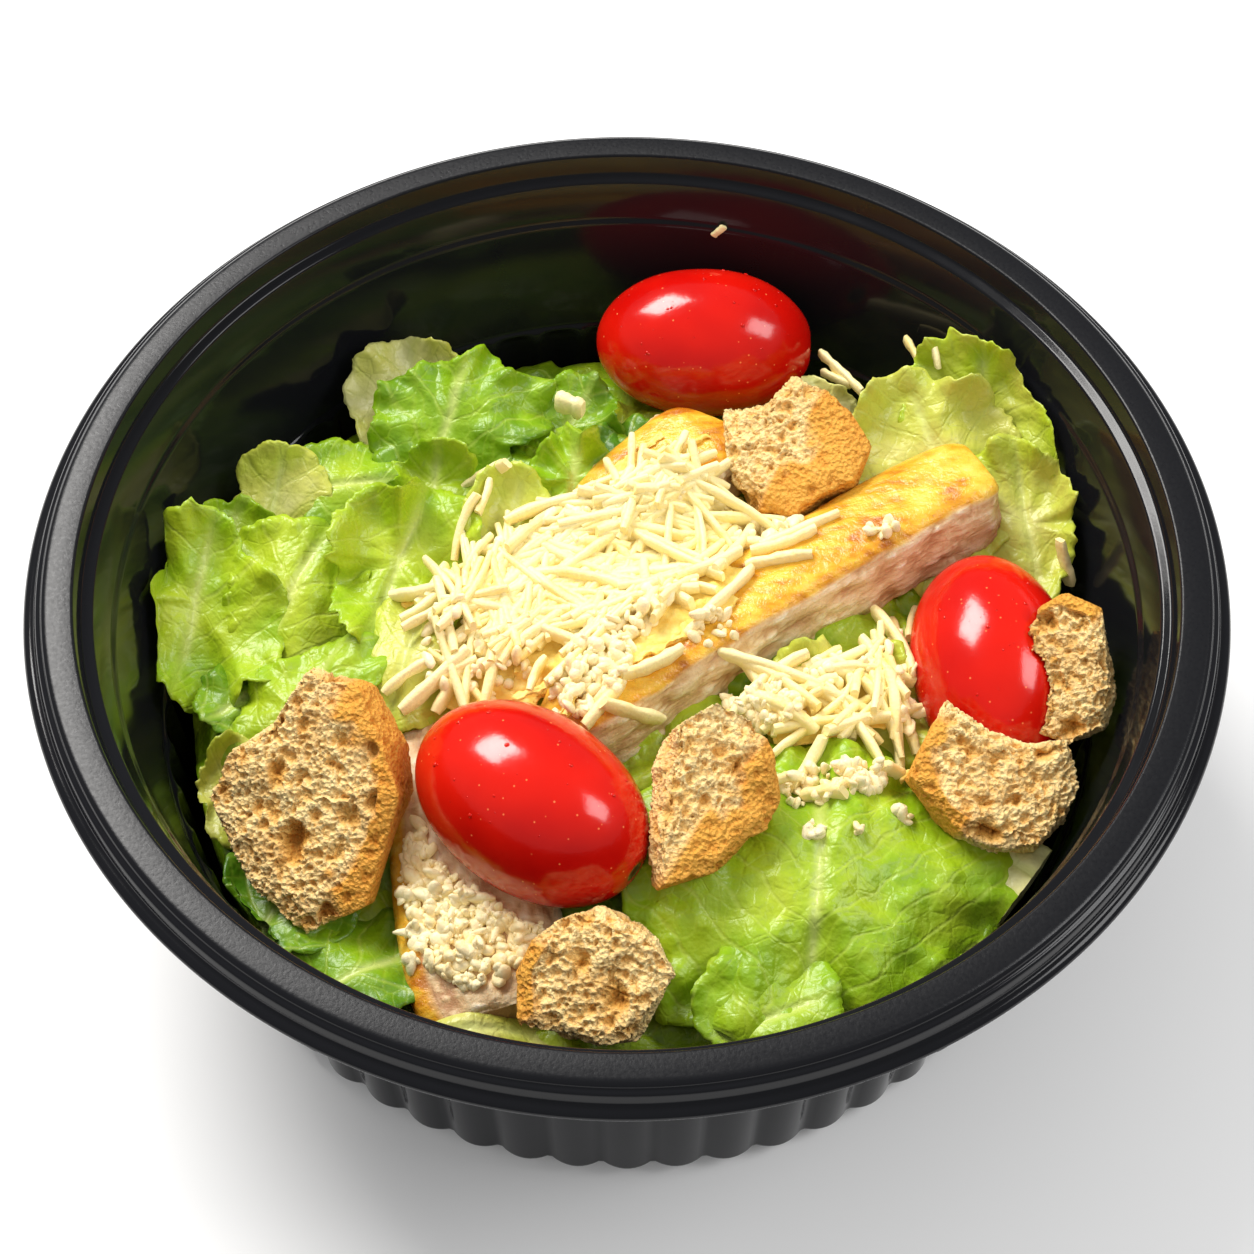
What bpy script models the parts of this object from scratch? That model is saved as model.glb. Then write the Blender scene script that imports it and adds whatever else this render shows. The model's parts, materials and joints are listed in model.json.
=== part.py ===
"""Chicken caesar salad in a round ribbed take-away bowl.

Metres, +Z up. The bowl stands on z = 0 with its axis on the Z axis, and the
front of the salad faces -Y. Each piece of food is its own closed solid: three
plum tomatoes, six croutons, three pieces of chicken, three heaps of grated
cheese, and the lettuce as one heap of leaves fused to a plain core.
"""
import itertools
import math
import random

import bmesh
import bpy
from mathutils import Euler, Matrix, Vector, noise

# Bowl: a 7 1/4 inch thin-walled bowl with a fluted lower wall
BOWL_HEIGHT = 0.066
LIP_RADIUS = 0.092
FLAT_OUTER = 0.088
FLAT_INNER = 0.0839
WALL = 0.0008
LEDGE_UPPER_Z = 0.0621
LEDGE_UPPER_RADIUS = 0.08165
LEDGE_LOWER_Z = 0.0542
LEDGE_LOWER_RADIUS = 0.0795
FLUTE_TOP_Z = 0.0328
FLUTE_TOP_RADIUS = 0.0755
FLUTE_FOOT_RADIUS = 0.0738
FLUTE_DEPTH = 0.0015
FLUTE_COUNT = 57
BASE_RADIUS = 0.0705
PANEL_RADIUS = 0.060
PANEL_RISE = 0.0008

# Clearance kept between pieces that touch, and what a cutter adds to get it
GAP = 0.0004

# A cut's edges shorter than this are collapsed, and faces flatter than this are joined
MERGE = 0.000003
FLAT_ANGLE = math.radians(3.5)
SORT_LINE = Vector((1.0, 7.3, 53.1))

# Tomatoes: length, width, centre and the direction of the long axis
TOMATOES = {
    "tomato_front": (0.0392, 0.0275, (-0.0143, -0.0342, 0.0470), (0.80, -0.58, -0.06)),
    "tomato_back": (0.0378, 0.0256, (0.0135, 0.0605, 0.0440), (1.0, -0.02, -0.03)),
    "tomato_right": (0.0375, 0.0255, (0.0580, -0.0055, 0.0420), (-0.06, 1.0, 0.10)),
}
TOMATO_SEGMENTS = 14
TOMATO_RINGS = 9

# Croutons: centre, facing, thickness, and the reach of the torn face in
# millimetres at twelve equal angles, starting at the right, anticlockwise
CROUTONS = {
    "crouton_left": ((-0.0480, -0.0305, 0.0435), (-0.20, -0.58, 0.79), 0.0115,
                     (15, 16, 19, 19, 12, 14, 16, 15, 16, 21, 19, 15)),
    "crouton_middle": ((0.0120, -0.0350, 0.0500), (0.25, -0.45, 0.86), 0.0110,
                       (10, 12, 13, 14, 12, 9, 8, 11, 16, 12, 9, 9)),
    "crouton_bottom": ((-0.0038, -0.0600, 0.0420), (-0.10, -0.50, 0.86), 0.0150,
                       (11, 10, 9, 10, 10, 11, 12, 13, 11, 11, 11, 10)),
    "crouton_right_low": ((0.0560, -0.0290, 0.0440), (0.05, -0.40, 0.92), 0.0120,
                          (13, 13, 8, 8, 14, 13, 13, 11, 10, 11, 12, 12)),
    "crouton_right_high": ((0.0690, -0.0110, 0.0490), (-0.30, -0.50, 0.81), 0.0105,
                           (7, 7, 10, 12, 10, 8, 7, 8, 12, 12, 11, 8)),
    "crouton_top": ((0.0275, 0.0330, 0.0475), (-0.10, -0.40, 0.91), 0.0140,
                    (13, 11, 11, 11, 9, 13, 12, 11, 12, 12, 10, 12)),
}
CROUTON_SIDES = 12
CROUTON_CRAG = 0.0016
CROUTON_GRAIN = 0.0055

# Chicken: stations along each piece as (centre, half width, half height), and
# the roll of its section about that line
CHICKEN = {
    "chicken_long": (
        ((-0.0105, -0.0175, 0.0395), 0.0050, 0.0042),
        ((-0.0050, -0.0137, 0.0400), 0.0074, 0.0068),
        ((0.0120, -0.0010, 0.0408), 0.0080, 0.0075),
        ((0.0300, 0.0112, 0.0418), 0.0080, 0.0075),
        ((0.0470, 0.0215, 0.0435), 0.0082, 0.0075),
        ((0.0560, 0.0262, 0.0450), 0.0080, 0.0070),
        ((0.0588, 0.0275, 0.0452), 0.0062, 0.0054),
    ),
    "chicken_small": (
        ((0.0155, 0.0385, 0.0440), 0.0058, 0.0045),
        ((0.0125, 0.0355, 0.0440), 0.0088, 0.0062),
        ((0.0010, 0.0265, 0.0410), 0.0092, 0.0062),
        ((-0.0060, 0.0210, 0.0380), 0.0072, 0.0045),
    ),
    "chicken_lower": (
        ((-0.0265, -0.0100, 0.0320), 0.0080, 0.0050),
        ((-0.0260, -0.0160, 0.0320), 0.0115, 0.0068),
        ((-0.0235, -0.0400, 0.0310), 0.0125, 0.0070),
        ((-0.0205, -0.0570, 0.0295), 0.0120, 0.0066),
        ((-0.0195, -0.0615, 0.0290), 0.0095, 0.0050),
    ),
}
CHICKEN_ROLL = {"chicken_long": -12, "chicken_small": 8, "chicken_lower": 6}
CHICKEN_SIDES = 14
CHICKEN_SQUARENESS = 0.42
CHICKEN_FIBRE = 0.0005

# Lettuce core: a low mound, as high as this above the base at its middle, and
# hollowed where the lower chicken lies
CORE_HEIGHT = 0.0410
CORE_FALL = 0.0160
CORE_BUMP = 0.0014
CORE_HOLLOW = (-0.0220, -0.0420)
CORE_HOLLOW_DEPTH = 0.0075
CORE_HOLLOW_REACH = 0.0220
CORE_FOOT_Z = 0.0040
CORE_SECTORS = 28
CORE_RINGS = 5

# Leaves: centre, facing, the reach of the margin in millimetres at equal angles
# from the right, anticlockwise, then the cup, the ruffle and the number of ruffles
LEAVES = {
    "left_outer": ((-0.0700, 0.0065, 0.0420), (-0.05, -0.45, 0.89),
                   (16, 11, 17, 10, 8, 11, 17, 18), 0.001, 0.0024, 5),
    "left_folded": ((-0.0540, 0.0075, 0.0440), (0.05, -0.45, 0.89),
                    (12, 15, 11, 13, 10, 12, 16, 14), -0.003, 0.0018, 4),
    "left_bright": ((-0.0370, 0.0130, 0.0450), (0.10, -0.40, 0.91),
                    (12, 14, 11, 13, 10, 13, 18, 14), 0.002, 0.0026, 5),
    "left_olive": ((-0.0590, 0.0305, 0.0400), (0.10, -0.50, 0.86),
                   (9, 9, 8, 8, 6, 9, 17, 15), 0.001, 0.0006, 3),
    "left_rolled": ((-0.0480, 0.0320, 0.0410), (0.05, -0.30, 0.95),
                    (11, 10, 8, 9, 8, 9, 12, 12), -0.004, 0.0010, 3),
    "left_small": ((-0.0670, 0.0230, 0.0390), (0.25, -0.35, 0.90),
                   (9, 6, 5, 5, 5, 8, 14, 17), 0.001, 0.0010, 4),
    "left_dark": ((-0.0625, -0.0090, 0.0360), (0.15, -0.25, 0.95),
                  (14, 9, 7, 7, 6, 6, 6, 12), -0.001, 0.0014, 4),
    "left_long": ((-0.0525, -0.0130, 0.0400), (-0.10, -0.30, 0.95),
                  (12, 18, 9, 9, 9, 16, 12, 12), -0.003, 0.0014, 5),
    "left_rib": ((-0.0350, -0.0040, 0.0440), (-0.10, -0.25, 0.96),
                 (9, 11, 11, 10, 11, 12, 13, 10), -0.004, 0.0010, 3),
    "left_wall": ((-0.0630, -0.0240, 0.0340), (0.20, -0.40, 0.89),
                  (14, 8, 9, 5, 4, 5, 9, 12), 0.000, 0.0010, 3),
    "back_grey": ((-0.0385, 0.0560, 0.0380), (0.05, -0.45, 0.89),
                  (10, 9, 8, 9, 10, 12, 16, 14), 0.002, 0.0010, 4),
    "back_spiky": ((-0.0305, 0.0430, 0.0440), (0.05, -0.40, 0.92),
                   (17, 19, 12, 14, 10, 11, 11, 13, 13, 13, 14, 17, 17, 16, 14, 13), -0.003, 0.0018, 5),
    "back_curl": ((-0.0320, 0.0280, 0.0450), (0.00, -0.50, 0.86),
                  (7, 8, 7, 7, 7, 9, 14, 10), 0.001, 0.0022, 5),
    "back_dark": ((-0.0105, 0.0460, 0.0380), (0.05, -0.35, 0.93),
                  (9, 10, 9, 9, 8, 11, 14, 12), 0.001, 0.0018, 5),
    "back_frill": ((-0.0090, 0.0310, 0.0430), (0.10, -0.45, 0.89),
                   (7, 8, 8, 8, 7, 9, 13, 9), 0.000, 0.0026, 6),
    "back_rolled": ((-0.0010, 0.0395, 0.0390), (0.10, -0.35, 0.93),
                    (13, 9, 7, 7, 6, 8, 12, 13), -0.002, 0.0012, 4),
    "back_loop": ((-0.0185, 0.0200, 0.0465), (0.20, -0.45, 0.87),
                  (5, 7, 9, 9, 8, 9, 12, 8), 0.001, 0.0010, 3),
    "right_upper": ((0.0590, 0.0430, 0.0490), (-0.25, -0.60, 0.76),
                    (10, 9, 11, 12, 11, 14, 27, 18), 0.002, 0.0018, 5),
    "right_pale": ((0.0510, 0.0355, 0.0470), (0.05, -0.45, 0.89),
                   (13, 12, 10, 14, 15, 15, 26, 18), 0.001, 0.0016, 5),
    "right_lobe": ((0.0660, 0.0215, 0.0435), (-0.30, -0.45, 0.84),
                   (8, 9, 14, 15, 16, 18, 18, 9), 0.000, 0.0022, 6),
    "right_strip": ((0.0345, 0.0490, 0.0410), (0.10, -0.45, 0.89),
                    (5, 3, 3, 7, 5, 8, 15, 10), 0.000, 0.0006, 3),
    "front_large": ((0.0300, -0.0475, 0.0440), (0.08, -0.18, 0.98),
                    (28, 22, 24, 23, 28, 26, 21, 23), -0.009, 0.0022, 6),
    "front_curled": ((0.0190, -0.0660, 0.0380), (0.00, -0.30, 0.95),
                     (12, 14, 14, 10, 9, 6, 6, 6), -0.002, 0.0010, 3),
    "front_left": ((-0.0555, -0.0475, 0.0335), (-0.05, 0.10, 0.99),
                   (13, 15, 15, 10, 7, 7, 7, 7), -0.002, 0.0012, 4),
    "front_bed": ((-0.0410, -0.0560, 0.0335), (0.00, 0.15, 0.99),
                  (11, 11, 14, 13, 10, 8, 8, 9), -0.003, 0.0012, 4),
    "front_pale": ((-0.0220, -0.0650, 0.0330), (0.00, 0.10, 0.99),
                   (10, 9, 14, 10, 11, 7, 6, 7), -0.004, 0.0006, 3),
    "right_white": ((0.0600, -0.0410, 0.0390), (-0.25, -0.20, 0.95),
                    (6, 5, 5, 12, 16, 13, 9, 6), -0.002, 0.0006, 3),
    "middle_pale": ((0.0345, -0.0130, 0.0400), (0.10, -0.30, 0.95),
                    (11, 11, 11, 11, 11, 11, 13, 11), -0.002, 0.0010, 4),
}
LEAF_THICKNESS = 0.0007
LEAF_SECTORS = 12
LEAF_RINGS = 2
LEAF_SMALL = 13
LEAF_WAVE = 0.0012
LEAF_GRAIN = 0.011

# Grated cheese: a thin bed under the shreds, given as its middle, half length,
# half width and turn in degrees, then the number of shreds that lie on it
CHEESE = {
    "cheese_mound": ((-0.0085, 0.0070), 0.0350, 0.0195, 28, 34),
    "cheese_side": ((0.0290, -0.0140), 0.0110, 0.0060, 10, 8),
    "cheese_front": ((0.0330, -0.0290), 0.0090, 0.0055, 0, 7),
}
CHEESE_BED = 0.0030
CHEESE_SECTORS = 18
SHRED_WIDTH = 0.0020
SHRED_THICKNESS = 0.0015
SHRED_LENGTHS = (0.009, 0.022)
SHRED_SEED = 12


def material(name, colour, roughness):
    """A plain finish with the colour of the real piece."""
    made = bpy.data.materials.new(name)
    made.use_nodes = True
    shader = made.node_tree.nodes["Principled BSDF"]
    shader.inputs["Base Color"].default_value = (*colour, 1.0)
    shader.inputs["Roughness"].default_value = roughness
    shader.inputs["Metallic"].default_value = 0.0
    made.diffuse_color = (*colour, 1.0)
    return made


def add_object(name, mesh, collection, finish=None):
    """Put a mesh in a collection as a named object."""
    placed = bpy.data.objects.new(name, mesh)
    collection.objects.link(placed)
    if finish is not None:
        placed.data.materials.append(finish)
    return placed


def mesh_from(name, build):
    """Make a mesh out of a bmesh filled by build."""
    form = bmesh.new()
    build(form)
    mesh = bpy.data.meshes.new(name)
    form.to_mesh(mesh)
    form.free()
    return mesh


def loft(form, rings):
    """Join closed rings of equal count in order and cap both ends."""
    loops = [[form.verts.new(point) for point in ring] for ring in rings]
    for lower, upper in zip(loops, loops[1:]):
        for i in range(len(lower)):
            j = (i + 1) % len(lower)
            form.faces.new((lower[i], lower[j], upper[j], upper[i]))
    for loop in (loops[0], loops[-1]):
        cap = form.faces.new(loop)
        if len(loop) > 4:
            bmesh.ops.poke(form, faces=[cap])
    bmesh.ops.recalc_face_normals(form, faces=form.faces)
    bmesh.ops.triangulate(form, faces=form.faces)


def wall_radius(z):
    """Inner radius of the bowl at a height, at its narrowest between flutes."""
    stops = (
        (0.0, BASE_RADIUS - 0.004),
        (0.004, FLUTE_FOOT_RADIUS - FLUTE_DEPTH / 2 - WALL),
        (FLUTE_TOP_Z - 0.001, FLUTE_TOP_RADIUS - FLUTE_DEPTH / 2 - WALL),
        (LEDGE_LOWER_Z, LEDGE_LOWER_RADIUS),
        (BOWL_HEIGHT, LEDGE_UPPER_RADIUS),
    )
    for (z0, r0), (z1, r1) in zip(stops, stops[1:]):
        if z <= z1:
            return r0 + (r1 - r0) * (z - z0) / (z1 - z0)
    return LEDGE_UPPER_RADIUS


def bowl_profile():
    """Section of the bowl from the inside floor up, over the rim and down to the base."""
    top = BOWL_HEIGHT
    inside = [
        (0.0, PANEL_RISE + WALL),
        (BASE_RADIUS - WALL, PANEL_RISE + WALL),
        (FLUTE_FOOT_RADIUS - WALL, 0.0040),
        (FLUTE_TOP_RADIUS - WALL, FLUTE_TOP_Z - 0.0010),
        (FLUTE_TOP_RADIUS, FLUTE_TOP_Z),
        (LEDGE_LOWER_RADIUS, LEDGE_LOWER_Z - 0.0004),
        (LEDGE_LOWER_RADIUS + 0.0006, LEDGE_LOWER_Z + 0.0005),
        (LEDGE_UPPER_RADIUS, LEDGE_UPPER_Z),
        (FLAT_INNER - 0.0006, LEDGE_UPPER_Z + 0.0001),
        (FLAT_INNER, top),
    ]
    rim = [
        (FLAT_OUTER, top),
        (FLAT_OUTER + 0.0016, top - 0.0009),
        (LIP_RADIUS - 0.0018, top - 0.0029),
        (LIP_RADIUS, top - 0.0036),
        (LIP_RADIUS, top - 0.0044),
        (LIP_RADIUS - 0.0022, top - 0.0040),
        (FLAT_OUTER - 0.0002, top - WALL),
        (FLAT_INNER + WALL, top - WALL),
    ]
    outside = [
        (LEDGE_LOWER_RADIUS + WALL, LEDGE_LOWER_Z - 0.0010),
        (FLUTE_TOP_RADIUS + WALL, FLUTE_TOP_Z - 0.0002),
        (FLUTE_TOP_RADIUS, FLUTE_TOP_Z - 0.0018),
        (FLUTE_FOOT_RADIUS, 0.0030),
        (BASE_RADIUS, 0.0),
        (PANEL_RADIUS, 0.0),
        (PANEL_RADIUS - 0.001, PANEL_RISE),
        (0.0, PANEL_RISE),
    ]
    return inside + rim + outside


def bowl_mesh():
    """Turn the section, then press the flutes into the lower wall."""
    section = bowl_profile()

    def outline(form):
        points = [form.verts.new((radius, 0.0, z)) for radius, z in section]
        for start, end in zip(points, points[1:]):
            form.edges.new((start, end))

    turned = add_object("bowl_section", mesh_from("bowl_section", outline), cutters)
    screw = turned.modifiers.new("Turn", "SCREW")
    screw.steps = screw.render_steps = 2 * FLUTE_COUNT
    screw.use_merge_vertices = True
    screw.merge_threshold = 0.00001
    mesh = evaluated_mesh(turned)
    bpy.data.objects.remove(turned)
    mesh.transform(Matrix.Rotation(math.radians(90.0 / FLUTE_COUNT), 4, "Z"))
    for vertex in mesh.vertices:
        radius = math.hypot(vertex.co.x, vertex.co.y)
        if BASE_RADIUS < radius + WALL and 0.002 < vertex.co.z < FLUTE_TOP_Z - 0.0005:
            angle = math.atan2(vertex.co.y, vertex.co.x) + math.pi / 2
            pressed = radius + FLUTE_DEPTH / 2 * math.cos(FLUTE_COUNT * angle)
            vertex.co.x *= pressed / radius
            vertex.co.y *= pressed / radius
    halve_columns(mesh)
    return mesh


def halve_columns(mesh):
    """Above and inside the flutes, keep only every second line of the turned mesh."""
    form = bmesh.new()
    form.from_mesh(mesh)

    def spare(vertex):
        column = round((math.atan2(vertex.co.y, vertex.co.x) + math.pi / 2) / (math.pi / FLUTE_COUNT))
        radius = math.hypot(vertex.co.x, vertex.co.y)
        plain = vertex.co.z > FLUTE_TOP_Z - 0.0003 or radius < BASE_RADIUS + 0.0001
        return plain and (column % 2 == 1 or radius < 0.001)

    lines = [edge for edge in form.edges if spare(edge.verts[0]) and spare(edge.verts[1])]
    bmesh.ops.dissolve_edges(form, edges=lines, use_verts=True)
    form.to_mesh(mesh)
    form.free()


def evaluated_mesh(source):
    """The mesh of an object with its modifiers applied."""
    bpy.context.view_layer.update()
    return bpy.data.meshes.new_from_object(source.evaluated_get(bpy.context.evaluated_depsgraph_get()))


def boolean(target, operation, group, solver="EXACT"):
    """Join to, cut from or keep within a collection of closed solids."""
    tool = target.modifiers.new("Boolean", "BOOLEAN")
    tool.operation = operation
    tool.solver = solver
    tool.operand_type = "COLLECTION"
    tool.collection = group
    mesh = evaluated_mesh(target)
    target.modifiers.clear()
    old = target.data
    target.data = mesh
    bpy.data.meshes.remove(old)


def clean(target):
    """Merge what a cut left too close together, flatten what is nearly flat and drop loose scraps."""
    form = bmesh.new()
    form.from_mesh(target.data)
    put_in_order(form)
    bmesh.ops.dissolve_degenerate(form, edges=form.edges, dist=MERGE)
    bmesh.ops.dissolve_limit(form, angle_limit=FLAT_ANGLE, verts=form.verts, edges=form.edges)
    bmesh.ops.triangulate(form, faces=form.faces)
    turn_shared_diagonals(form)
    bmesh.ops.dissolve_degenerate(form, edges=form.edges, dist=MERGE)
    seen = set()
    bodies = []
    for start in form.faces:
        if start in seen:
            continue
        seen.add(start)
        body = [start]
        for face in body:
            for edge in face.edges:
                for other in edge.link_faces:
                    if other not in seen:
                        seen.add(other)
                        body.append(other)
        bodies.append(body)
    bodies.sort(key=len)
    for scrap in bodies[:-1]:
        bmesh.ops.delete(form, geom=scrap, context="FACES")
    form.to_mesh(target.data)
    form.free()


def turn_shared_diagonals(form):
    """Where a new diagonal runs along an edge of another sheet, take the face's other diagonal."""
    form.normal_update()
    for edge in [edge for edge in form.edges if len(edge.link_faces) == 4]:
        first, second = min(itertools.combinations(edge.link_faces, 2),
                            key=lambda pair: pair[0].normal.angle(pair[1].normal, math.pi))
        corners = list(first.verts)
        apex = next(vertex for vertex in corners if vertex not in edge.verts)
        far = next(vertex for vertex in second.verts if vertex not in edge.verts)
        start = corners[(corners.index(apex) + 1) % 3]
        end = edge.other_vert(start)
        if form.edges.get((apex, far)) is None:
            form.faces.remove(first)
            form.faces.remove(second)
            form.faces.new((end, apex, far))
            form.faces.new((apex, start, far))


def put_in_order(form):
    """Sort a mesh by place, so that what follows does not depend on how a cut numbered it."""
    form.verts.sort(key=lambda vertex: vertex.co.dot(SORT_LINE))
    form.edges.sort(key=lambda edge: (edge.verts[0].co + edge.verts[1].co).dot(SORT_LINE))
    form.faces.sort(key=lambda face: face.calc_center_median().dot(SORT_LINE))
    form.verts.index_update()
    form.edges.index_update()
    form.faces.index_update()


def grown_mesh(mesh, extra):
    """A copy of a closed mesh with its skin moved out."""
    form = bmesh.new()
    form.from_mesh(mesh)
    bmesh.ops.recalc_face_normals(form, faces=form.faces)
    form.normal_update()
    moves = [(vertex, vertex.normal * extra) for vertex in form.verts]
    for vertex, move in moves:
        vertex.co += move
    grown = bpy.data.meshes.new(mesh.name + "_grown")
    form.to_mesh(grown)
    form.free()
    return grown


def group_of(name, meshes):
    """A collection of cutters, hidden from renders."""
    group = bpy.data.collections.new(name)
    cutters.children.link(group)
    for i, mesh in enumerate(meshes):
        cutter = add_object(f"{name}_{i}", mesh, group)
        cutter.hide_render = True
        cutter.display_type = "WIRE"
    return group


def drop_group(group):
    """Remove a collection with its objects."""
    for member in list(group.objects):
        bpy.data.objects.remove(member)
    bpy.data.collections.remove(group)


def cut_clear(target, neighbours):
    """Cut a piece back so that it clears the pieces that it lies against."""
    group = group_of(target.name + "_cutters", [grown_mesh(n.data, GAP) for n in neighbours])
    boolean(target, "DIFFERENCE", group)
    drop_group(group)
    clean(target)


def keep_in_bowl(target):
    """Trim a piece to the inside of the bowl, with the gap."""
    heights = (0.0012, 0.004, FLUTE_TOP_Z - 0.001, LEDGE_LOWER_Z, BOWL_HEIGHT + 0.02)

    def inside(form):
        rings = []
        for z in heights:
            radius = wall_radius(z) - GAP
            rings.append([(radius * math.cos(t), radius * math.sin(t), z)
                          for t in (math.tau * i / 64 for i in range(64))])
        loft(form, rings)

    group = group_of(target.name + "_limit", [mesh_from("limit", inside)])
    boolean(target, "INTERSECT", group)
    drop_group(group)
    clean(target)


def tomato_mesh(length, width, centre, direction):
    """A plum tomato: an ellipsoid with slightly blunt ends."""
    def build(form):
        bmesh.ops.create_uvsphere(form, u_segments=TOMATO_SEGMENTS, v_segments=TOMATO_RINGS, radius=1.0)
        for vertex in form.verts:
            blunt = 1.0 + 0.05 * (1.0 - abs(vertex.co.z)) * vertex.co.z ** 2
            vertex.co.x *= blunt * width / 2
            vertex.co.y *= blunt * width / 2
            vertex.co.z *= length / 2
        turn = Vector(direction).to_track_quat("Z", "Y").to_matrix().to_4x4()
        bmesh.ops.transform(form, matrix=Matrix.Translation(centre) @ turn, verts=form.verts)
        bmesh.ops.triangulate(form, faces=form.faces)
    return mesh_from("tomato", build)


def reach_at(reaches, angle, rounded):
    """Reach of an uneven outline at an angle, in metres, between its stated values."""
    place = (angle % math.tau) / math.tau * len(reaches)
    i = int(place)
    part = place - i
    if rounded:
        part = part * part * (3 - 2 * part)
    return (reaches[i % len(reaches)] * (1 - part) + reaches[(i + 1) % len(reaches)] * part) / 1000


def axes_of(facing):
    """Right, up and outward directions of a flat piece that faces a given way."""
    normal = Vector(facing).normalized()
    right = (Vector((1, 0, 0)) - normal * normal.x).normalized()
    return right, normal.cross(right), normal


def crouton_mesh(centre, facing, thickness, reaches):
    """A torn chunk of bread: a slab with an uneven outline and craggy faces."""
    right, up, normal = axes_of(facing)
    bands = ((-0.5, 0.70), (-0.42, 0.93), (0.0, 1.02), (0.42, 0.98), (0.5, 0.76))

    def build(form):
        rings = []
        for depth, share in bands:
            ring = []
            for angle in turns(CROUTON_SIDES):
                reach = reach_at(reaches, angle, False) * share
                point = Vector(centre) + normal * depth * thickness
                point += right * reach * math.cos(angle) + up * reach * math.sin(angle)
                ring.append(point + crag(point, CROUTON_GRAIN) * CROUTON_CRAG)
            rings.append(ring)
        loft(form, rings)
    return mesh_from("crouton", build)


def crag(point, grain):
    """A steady uneven shift that depends only on the place."""
    scaled = Vector(point) / grain
    return Vector([noise.noise(scaled + Vector((shift, 0, -shift))) for shift in (0.0, 31.4, 71.7)])


def chicken_mesh(stations, roll):
    """A cut strip of breast: rounded square sections lofted along its line."""
    def build(form):
        rings = []
        middles = [Vector(station[0]) for station in stations]
        for k, (_, half_width, half_height) in enumerate(stations):
            along = middles[min(k + 1, len(middles) - 1)] - middles[max(k - 1, 0)]
            along.normalize()
            side = along.cross(Vector((0, 0, 1))).normalized()
            side.rotate(Matrix.Rotation(math.radians(roll), 3, along))
            up = side.cross(along)
            ring = []
            for i in range(CHICKEN_SIDES):
                angle = math.tau * (i + 0.5) / CHICKEN_SIDES
                across = squared(math.cos(angle)) * half_width
                rise = squared(math.sin(angle)) * half_height
                point = middles[k] + side * across + up * rise
                ring.append(point + crag(point, 0.004) * CHICKEN_FIBRE)
            rings.append(ring)
        loft(form, rings)
    return mesh_from("chicken", build)


def squared(value):
    """Push a circle's coordinate out towards a square."""
    return math.copysign(abs(value) ** CHICKEN_SQUARENESS, value)


def core_top(x, y):
    """Height of the lettuce core's uneven top."""
    share = math.hypot(x, y) / FLUTE_TOP_RADIUS
    bump = noise.noise(Vector((x / 0.014, y / 0.014, 0.7)))
    hollow = math.dist((x, y), CORE_HOLLOW) / CORE_HOLLOW_REACH
    return (CORE_HEIGHT - CORE_FALL * share ** 4 + CORE_BUMP * bump
            - CORE_HOLLOW_DEPTH * math.exp(-hollow ** 2))


def core_mesh(lift=0.0):
    """The mound that the leaves stand in, from the bowl's floor up."""
    def build(form):
        rings = []
        for z in (0.0018, CORE_FOOT_Z):
            radius = wall_radius(z) - GAP - 0.0002
            rings.append([(radius * math.cos(t), radius * math.sin(t), z) for t in turns(CORE_SECTORS)])
        for k in range(CORE_RINGS, 0, -1):
            radius = (FLUTE_TOP_RADIUS - 0.0035) * k / CORE_RINGS
            rings.append([(radius * math.cos(t), radius * math.sin(t),
                           core_top(radius * math.cos(t), radius * math.sin(t)) + lift)
                          for t in turns(CORE_SECTORS)])
        loft(form, rings)
    return mesh_from("core", build)


def turns(count):
    """Equal angles round a full turn."""
    return [math.tau * i / count for i in range(count)]


def leaf_mesh(centre, facing, reaches, cup, ruffle, ruffles, seed):
    """A thin wavy leaf about a centre, with an uneven margin that ruffles."""
    right, up, normal = axes_of(facing)
    phase = random.Random(seed).uniform(0, math.tau)
    sectors = max(LEAF_SECTORS, len(reaches))
    bands = LEAF_RINGS if max(reaches) > LEAF_SMALL else 1

    def point_at(share, angle):
        reach = reach_at(reaches, angle, True) * share
        flat = Vector(centre) + right * reach * math.cos(angle) + up * reach * math.sin(angle)
        height = cup * share ** 2 + ruffle * share ** 2 * math.sin(ruffles * angle + phase)
        return flat + normal * (height + LEAF_WAVE * noise.noise(flat / LEAF_GRAIN))

    def build(form):
        hub = form.verts.new(point_at(0.0, 0.0))
        rings = [[form.verts.new(point_at((k + 1) / bands, angle)) for angle in turns(sectors)]
                 for k in range(bands)]
        for i in range(sectors):
            j = (i + 1) % sectors
            form.faces.new((hub, rings[0][i], rings[0][j]))
            for inner, outer in zip(rings, rings[1:]):
                form.faces.new((inner[i], outer[i], outer[j], inner[j]))
        bmesh.ops.triangulate(form, faces=form.faces)

    sheet = add_object("leaf", mesh_from("leaf", build), cutters)
    shell = sheet.modifiers.new("Thickness", "SOLIDIFY")
    shell.thickness = LEAF_THICKNESS
    shell.offset = 0.0
    mesh = evaluated_mesh(sheet)
    bpy.data.objects.remove(sheet)
    return mesh


def shred_mesh(middle, heading, pitch, length, bend):
    """A grated strip, slightly bent, with a flat section."""
    def build(form):
        along = Euler((0, -pitch, heading)).to_matrix() @ Vector((1, 0, 0))
        side = Vector((0, 0, 1)).cross(along).normalized()
        up = along.cross(side)
        rings = []
        for k in range(3):
            share = k / 2 - 0.5
            centre = Vector(middle) + along * share * length + side * bend * (share ** 2 - 0.12)
            rings.append([centre + side * SHRED_WIDTH / 2 * a + up * SHRED_THICKNESS / 2 * b
                          for a, b in ((-1, -1), (1, -1), (1, 1), (-1, 1))])
        loft(form, rings)
    return mesh_from("shred", build)


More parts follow.
